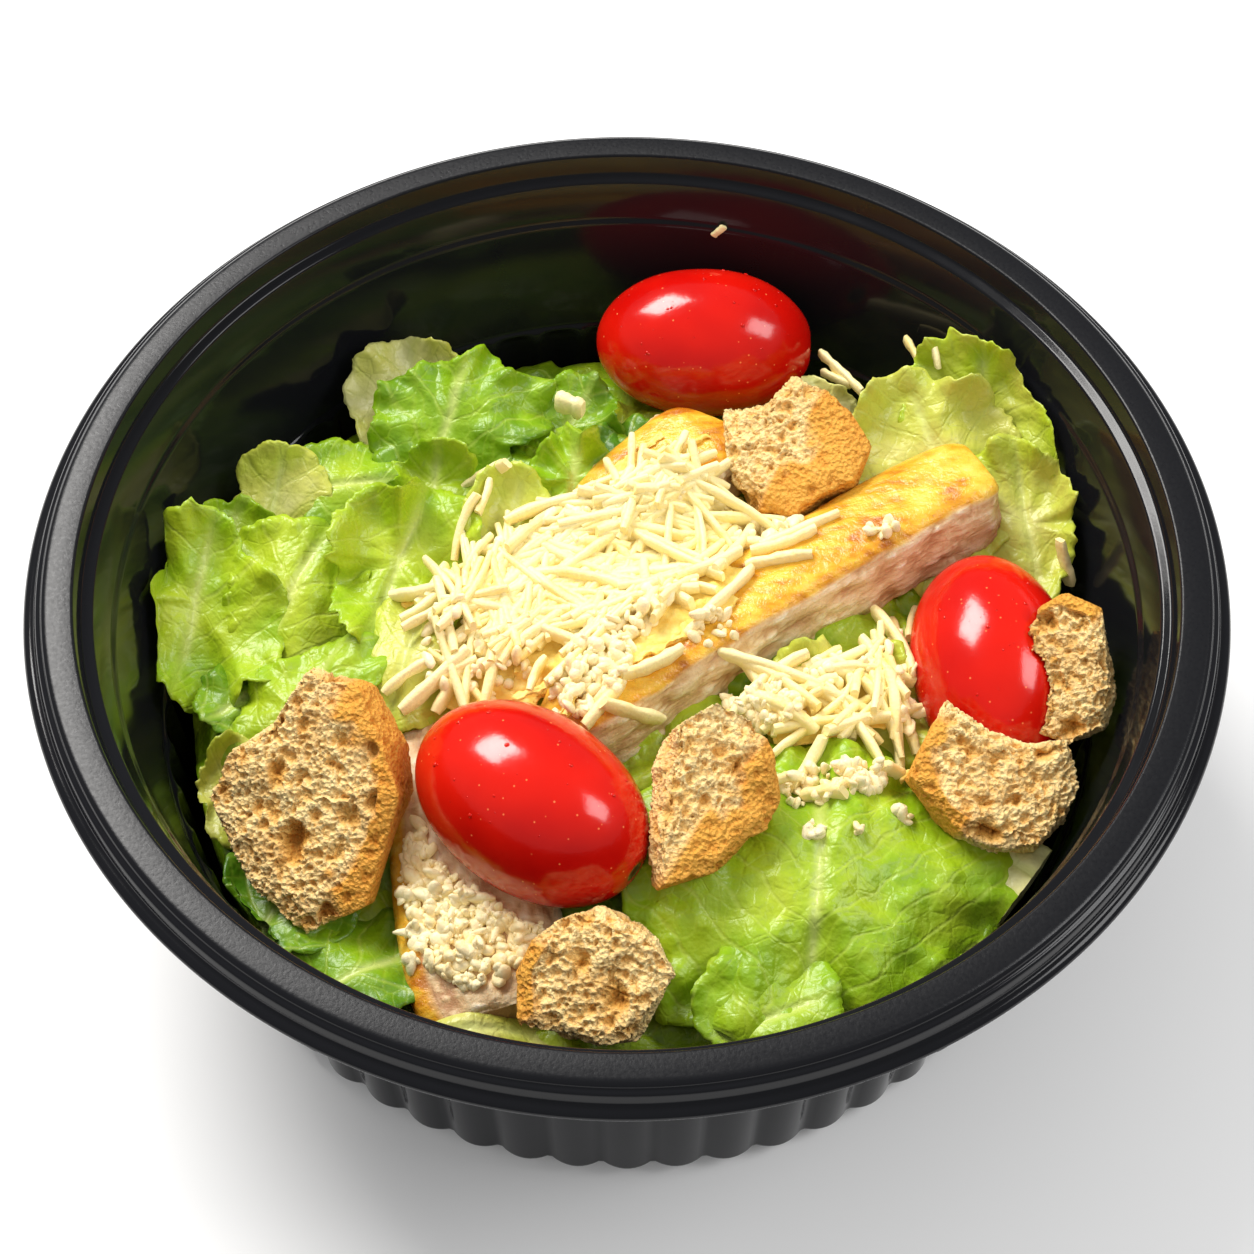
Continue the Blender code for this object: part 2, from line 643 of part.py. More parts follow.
def top_of(solids, x, y):
    """Highest point of some solids under a place in plan."""
    best = 0.0
    for solid in solids:
        hit, place, _, _ = solid.ray_cast(Vector((x, y, 0.2)), Vector((0, 0, -1)))
        if hit:
            best = max(best, place.z)
    return best


def cheese_parts(middle, half_length, half_width, turn, count, seed, ground):
    """The bed of a cheese heap and the shreds that lie on it."""
    heading = math.radians(turn)
    draw = random.Random(seed)

    def place(a, b):
        x = middle[0] + a * half_length * math.cos(heading) - b * half_width * math.sin(heading)
        y = middle[1] + a * half_length * math.sin(heading) + b * half_width * math.cos(heading)
        return x, y

    def bed(form):
        rings = []
        for share, drop in ((0.5, -0.007), (0.96, -0.007), (1.0, 0.0006), (0.8, CHEESE_BED * 0.7),
                            (0.5, CHEESE_BED), (0.2, CHEESE_BED)):
            ring = []
            for angle in turns(CHEESE_SECTORS):
                uneven = 1 + 0.10 * math.sin(3 * angle + seed) + 0.06 * math.sin(5 * angle)
                x, y = place(share * uneven * math.cos(angle), share * uneven * math.sin(angle))
                ring.append((x, y, top_of(ground, x, y) + drop))
            rings.append(ring)
        loft(form, rings)

    strips = []
    for _ in range(count):
        angle = draw.uniform(0, math.tau)
        reach = math.sqrt(draw.uniform(0, 1)) * 0.98
        x, y = place(reach * math.cos(angle), reach * math.sin(angle))
        z = top_of(ground, x, y) + CHEESE_BED * max(0.2, 1 - reach) + SHRED_THICKNESS * draw.uniform(0.2, 0.9)
        strips.append(((x, y, z), heading + draw.gauss(0, 0.45), draw.gauss(0, 0.08),
                       draw.uniform(*SHRED_LENGTHS), draw.uniform(-0.004, 0.004)))
    return mesh_from("bed", bed), strips


for leftover in list(bpy.data.objects):
    bpy.data.objects.remove(leftover)
salad = bpy.data.collections.new("chicken_caesar_salad")
cutters = bpy.data.collections.new("cutters")
bpy.context.scene.collection.children.link(salad)
bpy.context.scene.collection.children.link(cutters)

# Bowl
black_plastic = material("black_plastic", (0.012, 0.012, 0.014), 0.25)
bowl = add_object("bowl", bowl_mesh(), salad, black_plastic)
bowl.data.shade_smooth()
bowl.data.set_sharp_from_angle(angle=math.radians(30))

# Tomatoes
tomato_skin = material("tomato_skin", (0.55, 0.012, 0.006), 0.15)
tomatoes = []
for name, sizes in TOMATOES.items():
    tomato = add_object(name, tomato_mesh(*sizes), salad, tomato_skin)
    tomato.data.shade_smooth()
    tomatoes.append(tomato)

# Chicken
cooked_chicken = material("cooked_chicken", (0.72, 0.50, 0.22), 0.45)
chicken = []
for name, stations in CHICKEN.items():
    piece = add_object(name, chicken_mesh(stations, CHICKEN_ROLL[name]), salad, cooked_chicken)
    cut_clear(piece, tomatoes + chicken)
    chicken.append(piece)

# Croutons
toasted_bread = material("toasted_bread", (0.62, 0.36, 0.14), 0.80)
croutons = []
for name, sizes in CROUTONS.items():
    crouton = add_object(name, crouton_mesh(*sizes), salad, toasted_bread)
    keep_in_bowl(crouton)
    cut_clear(crouton, tomatoes + chicken + croutons)
    croutons.append(crouton)
toppings = tomatoes + chicken + croutons

# Cheese
grated_cheese = material("grated_cheese", (0.90, 0.80, 0.50), 0.50)
bare_core = add_object("bare_core", core_mesh(), cutters)
ground = [bare_core] + chicken
cheese = []
for seed, (name, (middle, half_length, half_width, turn, count)) in enumerate(CHEESE.items(), SHRED_SEED):
    bed, strips = cheese_parts(middle, half_length, half_width, turn, count, seed, ground)
    heap = add_object(name, bed, salad, grated_cheese)
    group = group_of(name + "_shreds", [shred_mesh(*strip) for strip in strips])
    boolean(heap, "UNION", group)
    drop_group(group)
    below = group_of(name + "_below", [core_mesh(GAP)])
    boolean(heap, "DIFFERENCE", below)
    drop_group(below)
    cut_clear(heap, toppings + cheese)
    cheese.append(heap)

# Lettuce
green_leaf = material("green_leaf", (0.28, 0.48, 0.06), 0.40)
lettuce = add_object("lettuce", core_mesh(), salad, green_leaf)
leaves = group_of("leaves", [leaf_mesh(*sizes, seed) for seed, sizes in enumerate(LEAVES.values())])
boolean(lettuce, "UNION", leaves)
drop_group(leaves)
clean(lettuce)
keep_in_bowl(lettuce)
cut_clear(lettuce, toppings + cheese)
bpy.data.objects.remove(bare_core)
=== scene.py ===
"""Chicken caesar salad in a round ribbed bowl of black plastic.

Metres, +Z up, the bowl's axis on Z and the front of the salad towards -Y.
"""
import functools
import json
import math
import random

import bmesh
import bpy
import numpy as np
from mathutils import Matrix, Vector, noise
from mathutils.bvhtree import BVHTree

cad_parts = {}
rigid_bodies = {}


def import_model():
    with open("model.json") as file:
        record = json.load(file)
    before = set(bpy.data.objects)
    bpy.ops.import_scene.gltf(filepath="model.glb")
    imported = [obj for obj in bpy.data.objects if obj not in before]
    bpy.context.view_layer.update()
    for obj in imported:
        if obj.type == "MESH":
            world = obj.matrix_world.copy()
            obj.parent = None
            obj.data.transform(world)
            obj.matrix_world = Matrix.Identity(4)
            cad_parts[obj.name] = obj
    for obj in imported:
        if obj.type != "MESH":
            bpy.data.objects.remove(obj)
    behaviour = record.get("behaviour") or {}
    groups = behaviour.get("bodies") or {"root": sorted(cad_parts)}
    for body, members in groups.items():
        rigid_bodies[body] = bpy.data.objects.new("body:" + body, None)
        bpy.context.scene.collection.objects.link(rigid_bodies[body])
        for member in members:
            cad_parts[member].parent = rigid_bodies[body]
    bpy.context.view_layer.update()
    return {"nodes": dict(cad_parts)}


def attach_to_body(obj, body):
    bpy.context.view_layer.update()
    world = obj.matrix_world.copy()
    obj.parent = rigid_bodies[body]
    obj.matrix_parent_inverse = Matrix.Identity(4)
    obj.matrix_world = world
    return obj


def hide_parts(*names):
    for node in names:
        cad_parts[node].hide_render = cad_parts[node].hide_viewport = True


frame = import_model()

# Bowl. One thin shell of glossy black plastic, pressed in a mould: a ledge under
# the rim for a lid, a satin flat on the rim, and a lower wall of 57 flutes. It is
# turned from its section, and the flutes are pressed into it afterwards.
BOWL_INSIDE = ((0.0, 1.6), (40.0, 1.6), (69.7, 1.6), (72.9, 3.9), (74.6, 30.6), (74.9, 32.2),
               (75.7, 32.8), (79.5, 53.7), (80.1, 54.7), (81.6, 61.9), (83.3, 62.2), (83.9, 66.0))
BOWL_RIM = ((88.0, 66.0), (88.7, 65.6), (88.9, 65.1), (89.7, 64.9), (90.2, 63.1), (91.3, 62.9),
            (92.0, 62.3), (92.0, 61.6), (89.8, 62.0), (87.8, 65.2), (84.7, 65.2))
BOWL_OUTSIDE = ((80.3, 53.2), (76.4, 32.9), (75.7, 31.8), (75.5, 30.2), (73.9, 3.6), (73.0, 1.8),
                (70.5, 0.0), (60.0, 0.0), (59.0, 0.8), (30.0, 0.8), (0.0, 0.8))
BOWL_ROUNDING = 0.45
BOWL_ROUNDING_STEPS = 3
FLUTE_COUNT = 57
FLUTE_DEPTH = 0.0015
FLUTE_COLUMNS = 10
FLUTE_ROUNDNESS = 0.75
FLUTE_LEAST_RADIUS = 0.0695
MERGE = 0.000002
BLACK_PLASTIC = (0.0075, 0.0078, 0.0095)


def attach(tree, kind, values=(), **settings):
    """Add a node to a tree, with its settings, and its inputs set or linked by name or number."""
    made = tree.nodes.new(kind)
    for name, value in settings.items():
        setattr(made, name, value)
    for name, value in dict(values).items():
        socket = made.inputs[name]
        if isinstance(value, bpy.types.NodeSocket):
            tree.links.new(value, socket)
        else:
            socket.default_value = value
    return made


def sum_of(tree, operation, *values):
    """A Math node's result."""
    return attach(tree, "ShaderNodeMath", enumerate(values), operation=operation).outputs[0]


def plus(tree, *values):
    """Values added together."""
    return functools.reduce(lambda first, second: sum_of(tree, "ADD", first, second), values)


def times(tree, *values):
    """Values multiplied together."""
    return functools.reduce(lambda first, second: sum_of(tree, "MULTIPLY", first, second), values)


def span_of(tree, value, source=(0.0, 1.0), result=(0.0, 1.0), **settings):
    """A value carried from one range to another and held at its ends."""
    ends = {0: value, 1: source[0], 2: source[1], 3: result[0], 4: result[1]}
    return attach(tree, "ShaderNodeMapRange", ends, **settings).outputs[0]


def axes_in(tree, place):
    """The three parts of a vector."""
    return attach(tree, "ShaderNodeSeparateXYZ", {0: place}).outputs


def scaled(tree, vector, amount):
    """A vector times an amount."""
    return attach(tree, "ShaderNodeVectorMath", {0: vector, "Scale": amount}, operation="SCALE").outputs[0]


def finish(name, **values):
    """A new material, its tree and its Principled shader, with plain values set on the shader."""
    made = bpy.data.materials.new(name)
    made.use_nodes = True
    tree = made.node_tree
    shader = tree.nodes["Principled BSDF"]
    for key, value in values.items():
        shader.inputs[key.replace("_", " ")].default_value = value
    return made, tree, shader


def place_on(tree, scale=(1, 1, 1), turn=(0, 0, 0)):
    """Object coordinates, stretched and turned for a pattern."""
    where = attach(tree, "ShaderNodeTexCoord").outputs["Object"]
    return attach(tree, "ShaderNodeMapping", {"Vector": where, "Scale": scale, "Rotation": turn}).outputs[0]


def new_group(name, vector, values, results):
    """A shader node group that takes a vector and some values, and puts out its results."""
    group = bpy.data.node_groups.new(name, "ShaderNodeTree")
    group.interface.new_socket(vector, in_out="INPUT", socket_type="NodeSocketVector")
    for label in values:
        group.interface.new_socket(label, in_out="INPUT", socket_type="NodeSocketFloat")
    for label in results:
        group.interface.new_socket(label, in_out="OUTPUT", socket_type="NodeSocketFloat")
    return group, group.nodes.new("NodeGroupInput").outputs


def mottle_group():
    """Two sizes of soft unevenness over a surface, as a blotch and a grain from 0 to 1."""
    group, source = new_group("mottle", "Place", ("Blotches per metre", "Grains per metre"),
                              ("Blotch", "Grain"))
    broad = attach(group, "ShaderNodeTexNoise", {"Vector": source["Place"], "Scale": source[1],
                                                 "Detail": 2.0, "Roughness": 0.5})
    fine = attach(group, "ShaderNodeTexNoise", {"Vector": source["Place"], "Scale": source[2],
                                                "Detail": 3.0, "Roughness": 0.6})
    attach(group, "NodeGroupOutput", {"Blotch": broad.outputs[0], "Grain": fine.outputs[0]})
    return group


mottle = mottle_group()


def mottled(tree, blotches, grains):
    """The blotch and grain of a material at its own sizes."""
    made = attach(tree, "ShaderNodeGroup", {0: place_on(tree), 1: blotches, 2: grains}, node_tree=mottle)
    return made.outputs["Blotch"], made.outputs["Grain"]


def bumped(tree, shader, height, depth):
    """Drive a shader's normal from a height, in metres of depth."""
    bump = attach(tree, "ShaderNodeBump", {"Height": height, "Distance": depth, "Strength": 1.0})
    tree.links.new(bump.outputs[0], shader.inputs["Normal"])


def rounded(points, reach, steps):
    """An open line with its corners rounded."""
    line = [Vector(point) for point in points]
    out = [line[0]]
    for before, corner, after in zip(line, line[1:], line[2:]):
        start = corner + (before - corner).normalized() * min(reach, (before - corner).length * 0.45)
        end = corner + (after - corner).normalized() * min(reach, (after - corner).length * 0.45)
        for k in range(steps + 1):
            t = k / steps
            out.append(start * (1 - t) ** 2 + corner * 2 * t * (1 - t) + end * t ** 2)
    return out + [line[-1]]


def placed(name, mesh, *materials):
    """Link a mesh to the scene as an object at the origin."""
    made = bpy.data.objects.new(name, mesh)
    bpy.context.scene.collection.objects.link(made)
    for material in materials:
        made.data.materials.append(material)
    return made


def fixed_mesh(source):
    """The mesh of an object with its modifiers applied."""
    bpy.context.view_layer.update()
    return bpy.data.meshes.new_from_object(source.evaluated_get(bpy.context.evaluated_depsgraph_get()))


def settle(piece):
    """Apply a piece's modifiers to its mesh."""
    mesh = fixed_mesh(piece)
    piece.modifiers.clear()
    old = piece.data
    piece.data = mesh
    bpy.data.meshes.remove(old)


def face_outwards(mesh):
    """Merge doubled points and turn every face out."""
    form = bmesh.new()
    form.from_mesh(mesh)
    bmesh.ops.remove_doubles(form, verts=form.verts, dist=MERGE)
    bmesh.ops.recalc_face_normals(form, faces=form.faces)
    form.to_mesh(mesh)
    form.free()


def hand_over(piece, slot, *solids):
    """A finished piece rides on the bowl's body and stands for its solids, which are hidden; the slot it is
    given is not used.
    """
    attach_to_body(piece, "root")
    if solids:
        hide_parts(*solids)


def new_tree(name, sizes, seed=None):
    """A geometry tree that takes a geometry, named sizes, a seed where it draws, and a material."""
    tree = bpy.data.node_groups.new(name, "GeometryNodeTree")
    face = tree.interface
    face.new_socket("Geometry", in_out="INPUT", socket_type="NodeSocketGeometry")
    for label, value in sizes.items():
        face.new_socket(label, in_out="INPUT", socket_type="NodeSocketFloat").default_value = value
    if seed is not None:
        face.new_socket("Seed", in_out="INPUT", socket_type="NodeSocketInt").default_value = seed
    face.new_socket("Material", in_out="INPUT", socket_type="NodeSocketMaterial")
    face.new_socket("Geometry", in_out="OUTPUT", socket_type="NodeSocketGeometry")
    return tree, tree.nodes.new("NodeGroupInput").outputs


def close_tree(tree, source, geometry):
    """End a geometry tree with its instances made real and its material set."""
    whole = attach(tree, "GeometryNodeRealizeInstances", {0: geometry}).outputs[0]
    done = attach(tree, "GeometryNodeSetMaterial", {"Geometry": whole, "Material": source["Material"]})
    attach(tree, "NodeGroupOutput", {0: done.outputs[0]})
    return tree


def flute_tree():
    """Press flutes into a turned wall: ribs that round outwards, with narrow valleys."""
    tree, source = new_tree("press_flutes", {"Count": FLUTE_COUNT, "Depth": FLUTE_DEPTH, "Foot": 0.0004,
                                             "Full": 0.0030, "Shoulder": 0.0310, "Top": 0.0326})
    axes = axes_in(tree, attach(tree, "GeometryNodeInputPosition").outputs[0])
    angle = plus(tree, sum_of(tree, "ARCTAN2", axes[1], axes[0]), math.pi / 2)
    wave = sum_of(tree, "COSINE", times(tree, angle, sum_of(tree, "DIVIDE", source["Count"], 2.0)))
    ribs = sum_of(tree, "POWER", sum_of(tree, "ABSOLUTE", wave), FLUTE_ROUNDNESS)
    rise = span_of(tree, axes[2], (source["Foot"], source["Full"]), interpolation_type="SMOOTHSTEP")
    fall = span_of(tree, axes[2], (source["Shoulder"], source["Top"]), (1.0, 0.0),
                   interpolation_type="SMOOTHSTEP")
    press = times(tree, sum_of(tree, "SUBTRACT", ribs, 0.5), source["Depth"], times(tree, rise, fall))
    level = attach(tree, "ShaderNodeCombineXYZ", {0: axes[0], 1: axes[1]}).outputs[0]
    out = attach(tree, "ShaderNodeVectorMath", {0: level}, operation="NORMALIZE").outputs[0]
    reach = plus(tree, sum_of(tree, "POWER", axes[0], 2.0), sum_of(tree, "POWER", axes[1], 2.0))
    wide = attach(tree, "FunctionNodeCompare", {0: reach, 1: FLUTE_LEAST_RADIUS ** 2}).outputs[0]
    pressed = attach(tree, "GeometryNodeSetPosition", {"Geometry": source["Geometry"], "Selection": wide,
                                                       "Offset": scaled(tree, out, press)})
    return close_tree(tree, source, pressed.outputs[0])


def run_tree(piece, tree, values):
    """Give a piece a node tree with named input values and apply it."""
    modifier = piece.modifiers.new(tree.name, "NODES")
    modifier.node_group = tree
    for item in tree.interface.items_tree:
        if item.in_out == "INPUT" and item.name in values:
            modifier[item.identifier] = values[item.name]
    settle(piece)


def bowl_plastic():
    """Black plastic: glossy, duller outside below the rim, with a finely grained satin flat on the rim."""
    made, tree, shader = finish("black_plastic", Base_Color=(*BLACK_PLASTIC, 1))
    blotch, grain = mottled(tree, 90, 1700)
    axes = axes_in(tree, place_on(tree))
    flat = span_of(tree, axes[2], (0.06575, 0.06592))
    gloss = span_of(tree, blotch, (0.3, 0.7), (0.07, 0.14))
    satin = span_of(tree, grain, (0.3, 0.7), (0.26, 0.36))
    rough = attach(tree, "ShaderNodeMix", {0: flat, 2: gloss, 3: satin}).outputs[0]
    tree.links.new(rough, shader.inputs["Roughness"])
    normal = attach(tree, "ShaderNodeNewGeometry").outputs["Normal"]
    level = attach(tree, "ShaderNodeCombineXYZ", {0: axes[0], 1: axes[1]}).outputs[0]
    away = attach(tree, "ShaderNodeVectorMath", {0: normal, 1: level},
                  operation="DOT_PRODUCT").outputs["Value"]
    below = span_of(tree, axes[2], (0.0600, 0.0616), (1.0, 0.0))
    dull = times(tree, span_of(tree, away, (0.002, 0.008)), below)
    tree.links.new(span_of(tree, dull, result=(0.27, 0.07)), shader.inputs["Specular IOR Level"])
    height = plus(tree, times(tree, grain, plus(tree, flat, 0.12)), times(tree, blotch, 0.9))
    bumped(tree, shader, height, 0.000025)
    return made


section = rounded([(r / 1000, 0.0, z / 1000) for r, z in BOWL_INSIDE + BOWL_RIM + BOWL_OUTSIDE],
                  BOWL_ROUNDING / 1000, BOWL_ROUNDING_STEPS)
outline = bpy.data.meshes.new("bowl")
outline.from_pydata(section, [(i, i + 1) for i in range(len(section) - 1)], [])
bowl = placed("bowl_shell", outline)
turned = bowl.modifiers.new("Turn", "SCREW")
turned.steps = turned.render_steps = FLUTE_COUNT * FLUTE_COLUMNS
turned.use_merge_vertices = True
turned.merge_threshold = 0.000001
settle(bowl)
run_tree(bowl, flute_tree(), {"Material": bowl_plastic()})
face_outwards(bowl.data)
bowl.data.shade_smooth()
hand_over(bowl, "bowl", "bowl")

# Tomatoes. Three whole plum tomatoes with taut shiny skin, a small dry scar where
# the stalk came off, fine pale flecks under the skin and beads of water on it.
TOMATOES = {
    "tomato_front": (0.0392, 0.0275, (-0.0143, -0.0342, 0.0470), (0.80, -0.58, -0.06)),
    "tomato_back": (0.0378, 0.0256, (0.0135, 0.0605, 0.0440), (1.0, -0.02, -0.03)),
    "tomato_right": (0.0375, 0.0255, (0.0580, -0.0055, 0.0420), (-0.06, 1.0, 0.10)),
}
TOMATO_SCAR = 0.0013
TOMATO_DIMPLE = 0.0007


def blend_of(tree, share, first, second):
    """A colour between two."""
    made = attach(tree, "ShaderNodeMix", {0: share, 6: first, 7: second}, data_type="RGBA")
    return made.outputs[2]


def noise_of(tree, place, scale, detail):
    """A noise pattern's value and colour."""
    return attach(tree, "ShaderNodeTexNoise", {"Vector": place, "Scale": scale, "Detail": detail}).outputs


def marked(tree, name):
    """A value stored on a piece's points."""
    return attach(tree, "ShaderNodeAttribute", attribute_name=name).outputs["Fac"]


def ramp_of(tree, value, stops):
    """A colour or grey read from a value through a ramp of (place, colour)."""
    made = attach(tree, "ShaderNodeValToRGB", {0: value})
    ramp = made.color_ramp
    while len(ramp.elements) < len(stops):
        ramp.elements.new(0.5)
    for element, (place, colour) in zip(ramp.elements, stops):
        element.position = place
        element.color = (*colour, 1.0) if isinstance(colour, tuple) else (colour, colour, colour, 1.0)
    return made.outputs[0]


def mesh_from(form, name):
    """The mesh of a finished form."""
    mesh = bpy.data.meshes.new(name)
    form.to_mesh(mesh)
    form.free()
    return mesh


def tomato_mesh(name, length, width, centre, direction):
    """A blunt, very slightly uneven ellipsoid with a dimple and a scar at its stalk end."""
    form = bmesh.new()
    bmesh.ops.create_uvsphere(form, u_segments=96, v_segments=72, radius=1.0)
    layer = form.verts.layers.float.new("scar")
    turn = Vector(direction).to_track_quat("Z", "Y").to_matrix()
    for vertex in form.verts:
        unit = vertex.co.copy()
        blunt = 1.0 + 0.05 * (1.0 - abs(unit.z)) * unit.z ** 2
        point = Vector((unit.x * blunt * width / 2, unit.y * blunt * width / 2, unit.z * length / 2))
        out = math.hypot(point.x, point.y)
        if unit.z > 0:
            point.z -= TOMATO_DIMPLE * math.exp(-(out / 0.0022) ** 2)
            vertex[layer] = math.exp(-(out / TOMATO_SCAR) ** 4)
        point += unit * 0.00022 * noise.noise(point / 0.013 + Vector(centre) * 300)
        vertex.co = Vector(centre) + turn @ point
    return mesh_from(form, name)


def water_tree():
    """Beads of water on the upper skin, each a low dome, with a fixed scatter."""
    tree, source = new_tree("water_beads", {"Beads per square metre": 150000.0, "Least size": 0.00010,
                                            "Largest size": 0.00042}, seed=3)
    up = axes_in(tree, attach(tree, "GeometryNodeInputNormal").outputs[0])[2]
    patch = noise_of(tree, attach(tree, "GeometryNodeInputPosition").outputs[0], 90.0, 1.0)[0]
    wet, high = span_of(tree, patch, (0.46, 0.62)), span_of(tree, up, (0.35, 0.85))
    spots = attach(tree, "GeometryNodeDistributePointsOnFaces",
                   {"Mesh": source["Geometry"], "Density": times(tree, source[1], times(tree, wet, high)),
                    "Seed": source["Seed"]}).outputs
    dome = attach(tree, "GeometryNodeMeshIcoSphere", {"Radius": 1.0, "Subdivisions": 2}).outputs["Mesh"]
    size = attach(tree, "FunctionNodeRandomValue", {2: 0.0, 3: 1.0, "Seed": source["Seed"]}, data_type="FLOAT")
    scale = span_of(tree, sum_of(tree, "POWER", size.outputs[1], 2.5),
                    result=(source["Least size"], source["Largest size"]))
    beads = attach(tree, "GeometryNodeInstanceOnPoints",
                   {"Points": spots["Points"], "Instance": dome, "Rotation": spots["Rotation"],
                    "Scale": scaled(tree, (1.0, 1.0, 0.55), scale)})
    both = tree.nodes.new("GeometryNodeJoinGeometry")
    tree.links.new(beads.outputs[0], both.inputs[0])
    tree.links.new(source["Geometry"], both.inputs[0])
    return close_tree(tree, source, both.outputs[0])


def tomato_skin():
    """Ripe red skin with fine golden flecks, and a brown scar with a green ring."""
    made, tree, shader = finish("tomato_skin", Specular_IOR_Level=0.5, Subsurface_Weight=0.10,
                                Subsurface_Radius=(0.004, 0.0008, 0.0004), Subsurface_Scale=0.6)
    blotch, grain = mottled(tree, 60, 900)
    red = ramp_of(tree, blotch, ((0.30, (0.50, 0.0030, 0.0012)), (0.70, (0.70, 0.0100, 0.0025))))
    flecks = attach(tree, "ShaderNodeTexVoronoi", {"Vector": place_on(tree), "Scale": 620.0}).outputs
    dot = ramp_of(tree, flecks["Distance"], ((0.070, 1.0), (0.120, 0.0)))
    few = ramp_of(tree, attach(tree, "ShaderNodeSeparateColor", {0: flecks["Color"]}).outputs[0],
                  ((0.38, 0.0), (0.44, 1.0)))
    spotted = blend_of(tree, times(tree, dot, few, 0.85), red, (0.85, 0.22, 0.07, 1))
    scar = marked(tree, "scar")
    stalk = ramp_of(tree, scar, ((0.03, (0.30, 0.17, 0.03)), (0.30, (0.16, 0.16, 0.03)),
                                 (0.80, (0.09, 0.05, 0.02))))
    tree.links.new(blend_of(tree, ramp_of(tree, scar, ((0.02, 0.0), (0.25, 1.0))), spotted, stalk),
                   shader.inputs["Base Color"])
    tree.links.new(plus(tree, times(tree, grain, 0.06), times(tree, scar, 0.4), 0.120),
                   shader.inputs["Roughness"])
    height = plus(tree, times(tree, grain, 0.25), times(tree, scar, grain, 4.0), times(tree, blotch, 1.2))
    bumped(tree, shader, height, 0.00012)
    return made


red_skin = tomato_skin()
beads = water_tree()
for seed, (name, sizes) in enumerate(TOMATOES.items(), 3):
    tomato = placed(name + "_skin", tomato_mesh(name, *sizes))
    run_tree(tomato, beads, {"Seed": seed, "Material": red_skin})
    tomato.data.shade_smooth()
    hand_over(tomato, "tomato", name)

# Chicken. Three pieces of cooked breast, cut in strips: a golden seasoned outside
# on one face, and cut faces of pale fibrous meat, flushed pink towards the thick
# end of the long strip. Each is lofted along its own line with rounded corners.
CHICKEN = {
    "chicken_long": (
        ((-0.0105, -0.0175, 0.0395), 0.0050, 0.0042),
        ((-0.0050, -0.0137, 0.0400), 0.0074, 0.0068),
        ((0.0120, -0.0010, 0.0408), 0.0080, 0.0075),
        ((0.0300, 0.0112, 0.0418), 0.0080, 0.0075),
        ((0.0470, 0.0215, 0.0435), 0.0082, 0.0075),
        ((0.0560, 0.0262, 0.0450), 0.0080, 0.0070),
        ((0.0588, 0.0275, 0.0452), 0.0062, 0.0054),
    ),
    "chicken_small": (
        ((0.0155, 0.0385, 0.0440), 0.0058, 0.0045),
        ((0.0125, 0.0355, 0.0440), 0.0088, 0.0062),
        ((0.0010, 0.0265, 0.0410), 0.0092, 0.0062),
        ((-0.0060, 0.0210, 0.0380), 0.0072, 0.0045),
    ),
    "chicken_lower": (
        ((-0.0265, -0.0100, 0.0320), 0.0080, 0.0050),
        ((-0.0260, -0.0160, 0.0320), 0.0115, 0.0068),
        ((-0.0235, -0.0400, 0.0310), 0.0125, 0.0070),
        ((-0.0205, -0.0570, 0.0295), 0.0120, 0.0066),
        ((-0.0195, -0.0615, 0.0290), 0.0095, 0.0050),
    ),
}
CHICKEN_ROLL = {"chicken_long": -12, "chicken_small": 8, "chicken_lower": 6}
CHICKEN_CORNER = 4.6
CHICKEN_RINGS = 150
CHICKEN_SIDES = 112
SKIN_SIDE = {"chicken_long": (0.0, 1.0), "chicken_small": (0.0, 1.0), "chicken_lower": (1.0, 0.0)}
FIBRE_DEPTH = 0.00055
SKIN_DEPTH = 0.00022


def step_of(value, low, high):
    """A smooth step from 0 to 1."""
    share = min(1.0, max(0.0, (value - low) / (high - low)))
    return share * share * (3 - 2 * share)


def along_line(stations, share):
    """Centre and half sizes at a share of the way along, through smooth stations."""
    rows = [np.array([*centre, wide, high]) for centre, wide, high in stations]
    place = share * (len(rows) - 1)
    k = min(int(place), len(rows) - 2)
    t = place - k
    a, b = rows[max(k - 1, 0)], rows[k]
    c, d = rows[k + 1], rows[min(k + 2, len(rows) - 1)]
    return 0.5 * (2 * b + (c - a) * t + (2 * a - 5 * b + 4 * c - d) * t ** 2
                  + (3 * b - a - 3 * c + d) * t ** 3)


